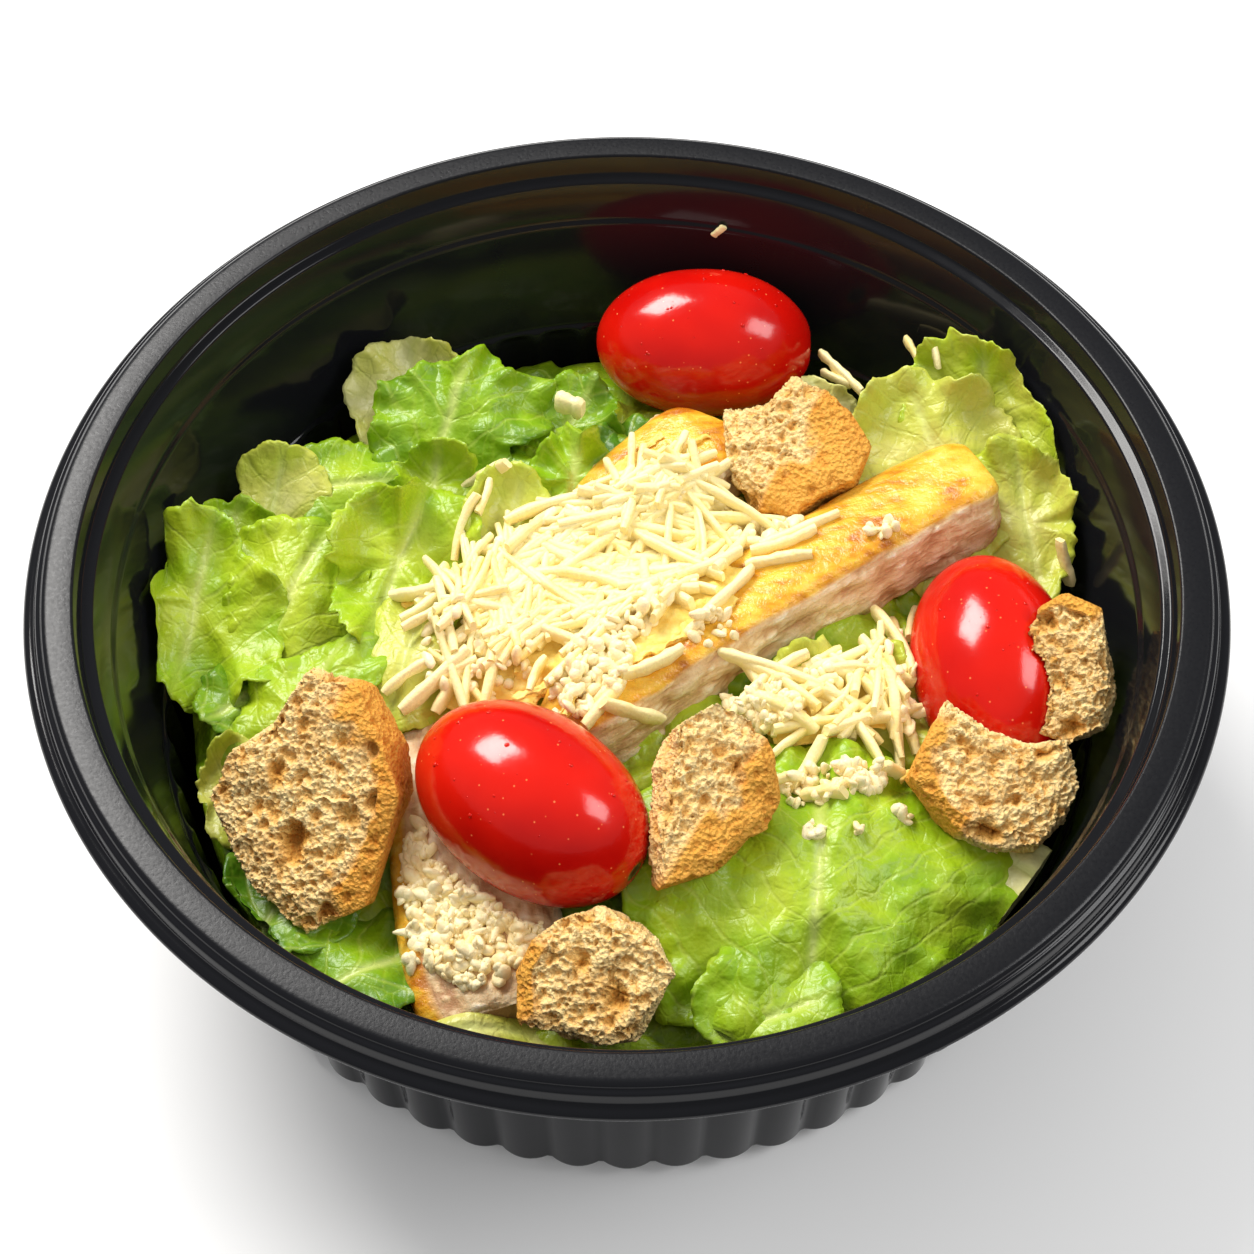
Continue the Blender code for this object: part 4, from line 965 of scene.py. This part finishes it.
def leaf_green():
    """Crisp leaf from white and yellow-green to deep green, greener at its margin."""
    made, tree, shader = finish("lettuce_leaf", Specular_IOR_Level=0.5)
    blotch, grain = mottled(tree, 110, 1300)
    share, green, rib = marked(tree, "share"), marked(tree, "green"), marked(tree, "rib")
    vein_map = attach(tree, "ShaderNodeUVMap", uv_map="veins").outputs[0]
    lines = attach(tree, "ShaderNodeGroup", {0: vein_map, 1: 150.0, 2: 330.0}, node_tree=veins_of).outputs
    depth = plus(tree, green, times(tree, sum_of(tree, "SUBTRACT", share, 0.55), 0.12),
                 times(tree, sum_of(tree, "SUBTRACT", blotch, 0.5), 0.60))
    colour = ramp_of(tree, depth, ((0.00, (0.74, 0.70, 0.34)), (0.25, (0.56, 0.56, 0.090)),
                                   (0.52, (0.42, 0.54, 0.018)), (0.75, (0.25, 0.43, 0.005)),
                                   (1.00, (0.070, 0.19, 0.004))))
    veined = blend_of(tree, times(tree, lines["Veins"], 0.20), colour, (0.62, 0.70, 0.16, 1))
    thread = ramp_of(tree, green, ((0.25, (0.30, 0.37, 0.03)), (0.50, (0.52, 0.64, 0.07))))
    netted = blend_of(tree, times(tree, lines["Net"], 0.13), veined, thread)
    ribbed = blend_of(tree, times(tree, rib, 0.45), netted, (0.68, 0.72, 0.26, 1))
    tree.links.new(ribbed, shader.inputs["Base Color"])
    tree.links.new(plus(tree, times(tree, grain, 0.24), 0.24), shader.inputs["Roughness"])
    crinkle = noise_of(tree, place_on(tree), 360.0, 2.0)[0]
    rough = plus(tree, times(tree, grain, 0.9), times(tree, crinkle, 4.6))
    sunk = plus(tree, times(tree, lines["Veins"], 0.55), times(tree, lines["Net"], 0.35))
    bumped(tree, shader, sum_of(tree, "SUBTRACT", rough, sunk), 0.00012)
    return made


def leaf_layers(form):
    """A leaf form's vein map, and the values stored on its points."""
    vein_map = form.loops.layers.uv.new("veins")
    return vein_map, *(form.verts.layers.float.new(name) for name in ("share", "green", "rib"))


green_leaf = leaf_green()
leaf_forms = {}
for seed, (name, row) in enumerate(LEAVES.items()):
    group_name = LEAF_GROUPS[name.split("_")[0]]
    if group_name not in leaf_forms:
        form = bmesh.new()
        leaf_forms[group_name] = (form, leaf_layers(form))
    leaf_into(*leaf_forms[group_name], row, seed)
leaf_pieces = [placed(name, mesh_from(form, name), green_leaf) for name, (form, _) in leaf_forms.items()]

CORE_HEIGHT = 0.0410
CORE_FALL = 0.0160
CORE_SPREAD = 0.0755
CORE_HOLLOW = (-0.0220, -0.0420)
CORE_HOLLOW_REACH = 0.0220
CORE_HOLLOW_DEPTH = 0.0075
CORE_FOLD = 0.0030
CORE_FOOT = ((0.0600, 0.0018), (0.0680, 0.0018), (0.0715, 0.0040), (0.0719, 0.0200))
CORE_REACH = 0.0715
CORE_SECTORS = 260
CORE_RINGS = 90


def core_height(x, y):
    """The heap's top under its loose leaves, low towards the wall and crumpled."""
    share = math.hypot(x, y) / CORE_SPREAD
    hollow = math.dist((x, y), CORE_HOLLOW) / CORE_HOLLOW_REACH
    bump = noise.noise(Vector((x / 0.014, y / 0.014, 0.7)))
    cell = noise.voronoi(Vector((x / 0.011, y / 0.008, 0.3)) + Vector((bump, -bump, 0)) * 0.5)[0]
    fold = min(1.0, (cell[1] - cell[0]) / 0.35)
    height = CORE_HEIGHT - CORE_FALL * share ** 4 - CORE_HOLLOW_DEPTH * math.exp(-hollow ** 2) + 0.0014 * bump
    fine = noise.noise(Vector((x / 0.003, y / 0.003, 1.9)))
    return height - CORE_FOLD * (1 - fold) * (1 - fold) + 0.0005 * fine


def core_form():
    """The crumpled body of the heap, from the bowl's floor up."""
    form = bmesh.new()
    vein_map, share_layer, green_layer, _ = leaf_layers(form)
    around = [(math.cos(math.tau * i / CORE_SECTORS), math.sin(math.tau * i / CORE_SECTORS))
              for i in range(CORE_SECTORS)]
    rows = [[(radius * c, radius * s, z) for c, s in around] for radius, z in CORE_FOOT]
    for k in range(CORE_RINGS, 0, -1):
        radius = CORE_REACH * k / CORE_RINGS
        rows.append([(radius * c, radius * s, core_height(radius * c, radius * s)) for c, s in around])
    loops = [[form.verts.new(point) for point in row] for row in rows]
    form.faces.new(loops[0][::-1])
    form.faces.new(loops[-1])
    for lower, upper in zip(loops, loops[1:]):
        for i in range(CORE_SECTORS):
            j = (i + 1) % CORE_SECTORS
            form.faces.new((lower[i], lower[j], upper[j], upper[i]))
    for vertex in form.verts:
        x, y, _ = vertex.co
        vertex[share_layer] = 0.6
        vertex[green_layer] = 0.66 + 0.36 * noise.noise(Vector((x / 0.018, y / 0.018, 4.2)))
    for face in form.faces:
        face.smooth = True
        for loop in face.loops:
            loop[vein_map].uv = (loop.vert.co.x + 5.0, loop.vert.co.y)
    bmesh.ops.recalc_face_normals(form, faces=form.faces)
    return mesh_from(form, "lettuce_core")


core = placed("lettuce_core", core_form(), green_leaf)
for piece in [core] + leaf_pieces:
    hand_over(piece, "lettuce", "lettuce")

# Cheese. Pale grated hard cheese: a thin matted bed, flat strips that lie across
# each other and drape over the chicken and leaves, and small crumbled grains. The
# strips follow lines laid on what carries them; the grains are scattered lumps.
CHEESE_NODES = ("cheese_mound", "cheese_side", "cheese_front")
STRIPS = (
    # both ends of a strip in pixels of the photograph, some moved a few pixels so that they land on the
    # piece that carries them, and how thick it is beside a common one
    (618, 604, 740, 562, 1.1), (745, 567, 812, 558, 1.0), (702, 618, 752, 572, 1.0), (714, 576, 753, 532, 1.0),
    (750, 555, 815, 533, 1.0), (760, 549, 838, 517, 0.9), (490, 662, 548, 618, 1.0), (545, 624, 626, 602, 1.0),
    (503, 607, 545, 625, 0.9), (525, 557, 585, 568, 1.0), (552, 520, 578, 558, 0.9), (587, 522, 628, 570, 1.0),
    (565, 518, 650, 492, 0.9), (606, 468, 618, 500, 0.9), (650, 474, 682, 503, 0.9), (620, 550, 668, 527, 1.0),
    (660, 528, 718, 535, 1.0), (630, 548, 735, 545, 1.0), (640, 590, 720, 560, 1.0), (600, 560, 640, 535, 0.9),
    (445, 585, 482, 625, 1.0), (498, 590, 503, 637, 1.0), (466, 602, 492, 540, 0.9), (455, 562, 478, 505, 0.9),
    (465, 482, 508, 470, 0.9), (478, 520, 490, 480, 0.8), (392, 598, 446, 602, 1.0), (402, 722, 470, 660, 1.2),
    (385, 700, 428, 673, 0.9), (585, 736, 622, 688, 1.1), (622, 684, 682, 652, 1.1), (603, 716, 662, 729, 1.0),
    (530, 705, 545, 662, 0.9), (497, 602, 545, 584, 0.9), (440, 690, 478, 668, 1.0), (770, 692, 815, 682, 1.0),
    (802, 677, 838, 657, 0.9), (830, 678, 875, 687, 1.0), (885, 680, 893, 745, 1.3), (893, 618, 898, 662, 1.1),
    (905, 640, 917, 664, 0.9), (915, 608, 908, 640, 0.8), (868, 735, 878, 715, 0.8), (755, 705, 812, 735, 1.5),
    (790, 792, 822, 747, 1.2), (803, 800, 842, 808, 1.2), (770, 790, 800, 785, 1.0), (880, 780, 900, 778, 1.0),
    (417, 895, 503, 906, 1.2), (440, 870, 480, 855, 0.9), (500, 930, 540, 955, 0.9), (860, 690, 900, 765, 0.9),
    (640, 515, 700, 520, 0.9), (570, 590, 640, 575, 0.9), (555, 600, 610, 585, 0.9), (680, 575, 735, 548, 0.9),
    (610, 500, 680, 508, 0.9),
)
LOOSE_STRIPS = (
    # middle and half sizes of a patch in mm, its turn, how many strips, their common heading and spread
    (-3.0, 12.0, 24.0, 11.0, 28, 240, 25, 0.60),
    (0.0, -1.0, 10.0, 4.0, 35, 12, 38, 0.40),
    (-24.0, 2.0, 13.0, 9.0, 60, 40, 70, 0.60),
    (4.0, 22.0, 12.0, 5.0, 10, 14, 15, 0.60),
    (32.0, -12.0, 12.0, 7.0, 10, 34, 20, 0.90),
    (43.0, -6.0, 4.5, 10.0, 0, 9, 95, 0.40),
    (-22.0, -43.0, 9.0, 13.0, 0, 16, 0, 1.20),
)
GRAIN_PATCHES = (
    # middle and half sizes of a patch in mm, its turn, and how many grains lie on it
    (-6.0, -12.5, 8.0, 4.5, 40, 150), (-23.0, -4.0, 10.0, 8.0, 0, 90), (-22.5, -42.0, 12.0, 17.0, 0, 1150),
    (-1.0, -2.0, 10.0, 4.5, 35, 110), (14.0, -4.0, 4.0, 3.0, 30, 20), (21.5, -14.5, 6.0, 3.2, -25, 190),
    (35.5, -28.0, 4.0, 3.0, 10, 80), (29.0, -29.0, 5.5, 3.5, 20, 50), (34.0, -7.5, 8.0, 3.0, 20, 40),
    (44.0, -8.0, 3.0, 9.0, 0, 40), (22.0, 18.0, 6.0, 2.5, 10, 40), (8.0, 23.0, 9.0, 2.5, 0, 40),
    (-10.0, 12.0, 20.0, 8.0, 28, 110), (42.0, -34.0, 1.2, 1.2, 0, 7), (28.0, -38.0, 1.3, 1.3, 0, 8),
    (41.0, 14.0, 3.0, 2.0, 30, 9), (34.0, -38.0, 1.0, 0.6, 0, 3), (-32.0, -55.0, 1.2, 1.2, 0, 3),
)
SINGLE_STRIPS = (
    # strips that lie alone: both ends in the photograph's pixels with their heights in mm, and how thick;
    # on the wall, by the right leaf, and on the back leaves
    ((713, 236, 53.0), (724, 226, 55.0), 0.55), ((1060, 540, 46.0), (1070, 585, 38.0), 0.85),
    ((556, 400, 45.5), (583, 410, 45.5), 1.6), ((820, 352, 43.0), (862, 392, 44.0), 0.8),
    ((822, 372, 41.5), (850, 385, 43.0), 0.7), ((905, 338, 47.0), (935, 385, 47.0), 0.8),
)
CAMERA_PLACE = (0.0, -0.22339, 0.365)
CAMERA_TARGET = (0.0, -0.01508, 0.066)
CAMERA_LENS = 70.21
SENSOR_WIDTH = 36.0
PHOTO_SIZE = 1254
STRIP_WIDTH = 0.0026
STRIP_HEIGHT = 0.0013
STRIP_POINTS = 9
THICK_STRIP = 1.15
SEEN_LIFT = 0.0006
LOOSE_LIFT = 0.0002
PILE_HEIGHT = 0.0024
BED_STEP = 0.00045
BED_SMOOTHING = 3
GRAIN_RISE = 0.00016
GRAIN_PILE = 0.0008
COVER_GAP = 0.0005
LOWEST_GROUND = 0.02
LOOK_HEIGHT = 0.09
GRID_STEP = 0.0005
GRID_HALF = 0.080


def sight_line(across, down):
    """Direction from the camera through a place in the photograph, in its pixels."""
    forward = (Vector(CAMERA_TARGET) - Vector(CAMERA_PLACE)).normalized()
    right = forward.cross(Vector((0, 0, 1))).normalized()
    up = right.cross(forward)
    focal = PHOTO_SIZE * CAMERA_LENS / SENSOR_WIDTH
    return (forward * focal + right * (across - PHOTO_SIZE / 2) - up * (down - PHOTO_SIZE / 2)).normalized()


def seen_on(trees, across, down):
    """Where a line of sight first meets the salad."""
    hits = [tree.ray_cast(Vector(CAMERA_PLACE), sight_line(across, down)) for tree in trees]
    return min((hit for hit in hits if hit[0] is not None), key=lambda hit: hit[3])[0]


def seen_at(across, down, height):
    """Where a line of sight is at a height in mm."""
    sight = sight_line(across, down)
    return Vector(CAMERA_PLACE) + sight * ((height / 1000 - CAMERA_PLACE[2]) / sight.z)


def look_down(pieces):
    """Height grid of some pieces as seen from above, zero where there is none."""
    bpy.context.view_layer.update()
    graph = bpy.context.evaluated_depsgraph_get()
    trees = [BVHTree.FromObject(piece, graph) for piece in pieces]
    count = int(2 * GRID_HALF / GRID_STEP) + 1
    grid = np.zeros((count, count))
    down = Vector((0, 0, -1))
    for i in range(count):
        for j in range(count):
            start = Vector((i * GRID_STEP - GRID_HALF, j * GRID_STEP - GRID_HALF, LOOK_HEIGHT))
            if start.x ** 2 + start.y ** 2 < GRID_HALF ** 2:
                for tree in trees:
                    place = tree.ray_cast(start, down)[0]
                    if place is not None:
                        grid[i, j] = max(grid[i, j], place.z)
    return grid


def cell_at(x, y):
    """Grid cell of a place in plan."""
    return int(round((x + GRID_HALF) / GRID_STEP)), int(round((y + GRID_HALF) / GRID_STEP))


def matted_bed(node):
    """One bed of cheese: its solid made fine and lumpy."""
    piece = fine_copy(node, BED_STEP, BED_SMOOTHING)
    points, normals = points_of(piece.data)
    moved = []
    for point, outward in zip(points, normals):
        lump = noise.voronoi(point / 0.0022)[0][0]
        moved.extend(point + outward * (-0.0010 * lump + 0.0004 * noise.noise(point / 0.0011)))
    piece.data.vertices.foreach_set("co", moved)
    return piece


def shaken(tree, grain, reach):
    """A shift that moves every point a little off its place."""
    colour = noise_of(tree, attach(tree, "GeometryNodeInputPosition").outputs[0], grain, 1.0)[1]
    return scaled(tree, centred(tree, colour), reach)


def strip_tree():
    """Give laid lines the flat rounded section of a grated strip, a little ragged."""
    tree, source = new_tree("grated_strips", {"Width": STRIP_WIDTH, "Height": STRIP_HEIGHT,
                                              "Ragged": 0.00055, "Grain": 700.0})
    lines = attach(tree, "GeometryNodeMeshToCurve", {"Mesh": source["Geometry"]}).outputs[0]
    level = attach(tree, "GeometryNodeSetCurveNormal", {"Curve": lines}, mode="Z_UP").outputs[0]
    thick = attach(tree, "GeometryNodeInputNamedAttribute", {"Name": "thick"}, data_type="FLOAT").outputs[0]
    sized = attach(tree, "GeometryNodeSetCurveRadius", {"Curve": level, "Radius": thick}).outputs[0]
    flat = attach(tree, "GeometryNodeCurvePrimitiveQuadrilateral",
                  {"Width": source["Height"], "Height": source["Width"]}).outputs[0]
    section = attach(tree, "GeometryNodeFilletCurve", {"Curve": flat, "Radius": 0.00035, "Count": 1},
                     mode="POLY").outputs[0]
    swept = attach(tree, "GeometryNodeCurveToMesh", {"Curve": sized, "Profile Curve": section,
                                                     "Scale": thick, "Fill Caps": True}).outputs[0]
    worn = attach(tree, "GeometryNodeSetPosition",
                  {"Geometry": swept, "Offset": shaken(tree, source["Grain"], source["Ragged"])})
    return close_tree(tree, source, worn.outputs[0])


def lump_tree():
    """Small uneven lumps on points, each turned and sized by a fixed draw."""
    tree, source = new_tree("crumbled_grains", {"Least size": 0.0004, "Largest size": 0.0015}, seed=5)
    spots = attach(tree, "GeometryNodeMeshToPoints", {"Mesh": source["Geometry"]}).outputs[0]
    ball = attach(tree, "GeometryNodeMeshIcoSphere", {"Radius": 1.0, "Subdivisions": 2}).outputs["Mesh"]
    turn = attach(tree, "FunctionNodeRandomValue",
                  {0: (0, 0, 0), 1: (6.28, 6.28, 6.28), "Seed": source["Seed"]},
                  data_type="FLOAT_VECTOR").outputs[0]
    shape = attach(tree, "FunctionNodeRandomValue",
                   {0: (0.7, 0.45, 0.4), 1: (1.9, 1.0, 0.8), "Seed": source["Seed"]},
                   data_type="FLOAT_VECTOR").outputs[0]
    size = attach(tree, "FunctionNodeRandomValue",
                  {2: source["Least size"], 3: source["Largest size"], "Seed": 9},
                  data_type="FLOAT").outputs[1]
    lumps = attach(tree, "GeometryNodeInstanceOnPoints",
                   {"Points": spots, "Instance": ball, "Rotation": turn, "Scale": scaled(tree, shape, size)})
    whole = attach(tree, "GeometryNodeRealizeInstances", {0: lumps.outputs[0]}).outputs[0]
    uneven = attach(tree, "GeometryNodeSetPosition",
                    {"Geometry": whole, "Offset": shaken(tree, 800.0, 0.0009)})
    return close_tree(tree, source, uneven.outputs[0])


def pale_cheese(name, cream, shade_and_glow):
    """Waxy pale cheese, painted a warmer, deeper colour where its mottle and grain run low, which is painted
    shade in the grain's hollows, with a painted glow: a faint emission for the light that passes through it.
    """
    # Painted glow: the cheese faintly emits its warm shade colour, standing in for light scattered through it.
    made, tree, shader = finish(name, Specular_IOR_Level=0.35, Emission_Color=(*shade_and_glow, 1),
                                Emission_Strength=0.055)
    blotch, grain = mottled(tree, 160, 1400)
    bright = tuple(min(1.0, part * 1.08) for part in cream)
    both = plus(tree, times(tree, blotch, 0.6), times(tree, grain, 0.4))
    # Painted warm shade: the deeper colour at the low end of the mottle and grain, where the grain's bump also
    # sinks.
    colour = ramp_of(tree, both, ((0.32, shade_and_glow), (0.52, cream), (0.72, bright)))
    tree.links.new(colour, shader.inputs["Base Color"])
    tree.links.new(plus(tree, times(tree, grain, 0.2), 0.30), shader.inputs["Roughness"])
    bumped(tree, shader, grain, 0.00016)
    return made


def spot_in(draw, x, y, half_long, half_wide, turn):
    """A place in metres drawn inside a turned oval patch given in mm."""
    angle = draw.uniform(0, math.tau)
    reach = math.sqrt(draw.random())
    a, b = reach * math.cos(angle) * half_long, reach * math.sin(angle) * half_wide
    c, s = math.cos(math.radians(turn)), math.sin(math.radians(turn))
    return (x + a * c - b * s) / 1000, (y + a * s + b * c) / 1000


cheese_finish = pale_cheese("grated_cheese", (0.92, 0.80, 0.41), (0.93, 0.73, 0.24))
# The matted bed is painted a deeper yellow than the strips above it: painted warm shade for the gaps between
# them.
bed_shade_finish = pale_cheese("matted_cheese", (0.89, 0.66, 0.17), (0.87, 0.53, 0.08))
grain_finish = pale_cheese("crumbled_cheese", (0.93, 0.82, 0.50), (0.91, 0.69, 0.32))
bed_pieces = []
for name in CHEESE_NODES:
    bed = matted_bed(name)
    bed.name = name + "_bed"
    bed.data.materials.append(bed_shade_finish)
    bed.data.shade_smooth()
    hand_over(bed, "cheese", name)
    bed_pieces.append(bed)

by_name = bpy.data.objects
carriers = bed_pieces + [core] + leaf_pieces + [by_name[name + "_breast"] for name in CHICKEN]
ground = look_down(carriers)
ceiling = ground + PILE_HEIGHT
toppings = [by_name[name + "_skin"] for name in TOMATOES] + [by_name[name + "_bread"] for name in CROUTONS]
covered = look_down(toppings)
draw = random.Random(21)
solids = [frame["nodes"][name].data for name in (*CHEESE_NODES, *CHICKEN, "lettuce")]
in_view = [BVHTree.FromPolygons([vertex.co for vertex in mesh.vertices],
                                [face.vertices for face in mesh.polygons])
           for mesh in solids]
strip_rows = []
for across0, down0, across1, down1, thick in STRIPS:
    start, end = seen_on(in_view, across0, down0), seen_on(in_view, across1, down1)
    strip_rows.append((start.x, start.y, end.x, end.y, thick, SEEN_LIFT))
for *patch, count, heading, spread in LOOSE_STRIPS:
    for _ in range(count):
        middle = spot_in(draw, *patch)
        lie = math.radians(heading) + draw.gauss(0, spread)
        half = draw.uniform(0.0034, 0.0100)
        strip_rows.append((middle[0] - half * math.cos(lie), middle[1] - half * math.sin(lie),
                           middle[0] + half * math.cos(lie), middle[1] + half * math.sin(lie),
                           draw.uniform(0.75, 1.12), LOOSE_LIFT))
strip_rows = strip_rows[len(STRIPS):] + strip_rows[:len(STRIPS)]

strip_points, strip_edges, strip_sizes = [], [], []
for x0, y0, x1, y1, thick, lift in strip_rows:
    length = math.hypot(x1 - x0, y1 - y0)
    bow = draw.gauss(0, 0.045) * length
    line = []
    for k in range(STRIP_POINTS):
        t = k / (STRIP_POINTS - 1)
        side = bow * (1 - (2 * t - 1) ** 2) / max(length, 0.001)
        line.append((x0 + (x1 - x0) * t - (y1 - y0) * side, y0 + (y1 - y0) * t + (x1 - x0) * side))
    cells = [cell_at(x, y) for x, y in line]
    if any(covered[cell] > ground[cell] - COVER_GAP or ground[cell] < LOWEST_GROUND for cell in cells):
        continue
    heights = np.array([ground[cell] for cell in cells])
    along = np.linspace(-1, 1, STRIP_POINTS)
    level = np.polyval(np.polyfit(along, heights, 1 if thick < THICK_STRIP else 2), along)
    level = level + max(0.0, np.max(heights - level) * 0.6) + STRIP_HEIGHT * thick * 0.35 + lift * 0.3
    first = len(strip_points)
    for k, ((x, y), z) in enumerate(zip(line, level)):
        strip_points.append((x, y, z))
        strip_sizes.append(thick * (0.85 if k in (0, STRIP_POINTS - 1) else 1.0 + draw.uniform(-0.1, 0.1)))
        i, j = cell_at(x, y)
        top = z + STRIP_HEIGHT * thick * 0.25
        patch = slice(i - 1, i + 2), slice(j - 1, j + 2)
        ground[patch] = np.minimum(np.maximum(ground[patch], top), ceiling[patch])
    strip_edges.extend((first + k, first + k + 1) for k in range(STRIP_POINTS - 1))
for start, end, thick in SINGLE_STRIPS:
    first = len(strip_points)
    for k in range(STRIP_POINTS):
        x, y, z = seen_at(*start).lerp(seen_at(*end), k / (STRIP_POINTS - 1))
        strip_points.append((x, y, max(z, ground[cell_at(x, y)] + 0.0003)))
        strip_sizes.append(thick * (0.8 if k in (0, STRIP_POINTS - 1) else 1.0 + draw.uniform(-0.15, 0.15)))
    strip_edges.extend((first + k, first + k + 1) for k in range(STRIP_POINTS - 1))
strip_lines = bpy.data.meshes.new("cheese_strips")
strip_lines.from_pydata(strip_points, strip_edges, [])
strip_lines.attributes.new("thick", "FLOAT", "POINT").data.foreach_set("value", strip_sizes)
strips = placed("cheese_strips", strip_lines)
run_tree(strips, strip_tree(), {"Material": cheese_finish})
face_outwards(strips.data)
strips.data.shade_smooth()
hand_over(strips, "cheese", *CHEESE_NODES)

grain_points = []
for *oval, count in GRAIN_PATCHES:
    for _ in range(count):
        x, y = spot_in(draw, *oval)
        cell = cell_at(x, y)
        if ground[cell] > LOWEST_GROUND and covered[cell] < ground[cell] - COVER_GAP:
            grain_points.append((x, y, ground[cell] + draw.uniform(-0.0001, 0.0007)))
            i, j = cell
            patch = slice(i - 1, i + 2), slice(j - 1, j + 2)
            ground[patch] = np.minimum(ground[patch] + GRAIN_RISE, ceiling[patch] + GRAIN_PILE)
grain_mesh = bpy.data.meshes.new("cheese_grains")
grain_mesh.from_pydata(grain_points, [], [])
grains = placed("cheese_grains", grain_mesh)
run_tree(grains, lump_tree(), {"Material": grain_finish})
grains.data.shade_smooth()
hand_over(grains, "cheese")

# Setting. A pale floor under soft studio light, and the camera above the front.
FLOOR_SIZE = 3.0


def soft_light(name, place, aim, size, power, colour=(1, 1, 1)):
    """A rectangular studio light aimed at a place."""
    lamp = bpy.data.lights.new(name, "AREA")
    lamp.shape = "RECTANGLE"
    lamp.size, lamp.size_y = size
    lamp.energy = power
    lamp.color = colour
    made = bpy.data.objects.new(name, lamp)
    made.location = place
    made.rotation_euler = (Vector(aim) - Vector(place)).to_track_quat("-Z", "Y").to_euler()
    bpy.context.scene.collection.objects.link(made)


floor_form = bmesh.new()
bmesh.ops.create_grid(floor_form, x_segments=1, y_segments=1, size=FLOOR_SIZE / 2)
pale_floor, floor_tree, floor_shader = finish("pale_floor", Roughness=0.6, Specular_IOR_Level=0.2)
floor_blotch = mottled(floor_tree, 6, 400)[0]
floor_tree.links.new(ramp_of(floor_tree, floor_blotch, ((0.3, 0.86), (0.7, 0.88))),
                     floor_shader.inputs["Base Color"])
floor = placed("floor", mesh_from(floor_form, "floor"), pale_floor)

sky = bpy.data.worlds.new("studio")
bpy.context.scene.world = sky
sky.use_nodes = True
sky_light = sky.node_tree.nodes["Background"]
sky_light.inputs[0].default_value = (1.0, 1.0, 1.0, 1.0)
shone = attach(sky.node_tree, "ShaderNodeLightPath").outputs["Is Glossy Ray"]
sky.node_tree.links.new(span_of(sky.node_tree, shone, result=(0.70, 0.20)), sky_light.inputs[1])
soft_light("key", (-0.45, 0.55, 0.95), (0, 0, 0.04), (0.60, 0.45), 16.0, (1.0, 0.98, 0.95))
soft_light("fill", (0.75, -0.05, 0.75), (0, 0, 0.04), (0.40, 0.40), 3.5)

lens = bpy.data.cameras.new("camera")
lens.lens = CAMERA_LENS
lens.sensor_width = SENSOR_WIDTH
camera = bpy.data.objects.new("camera", lens)
camera.location = CAMERA_PLACE
camera.rotation_euler = (Vector(CAMERA_TARGET) - Vector(CAMERA_PLACE)).to_track_quat("-Z", "Y").to_euler()
bpy.context.scene.collection.objects.link(camera)
bpy.context.scene.camera = camera
bpy.context.scene.view_settings.view_transform = "Standard"
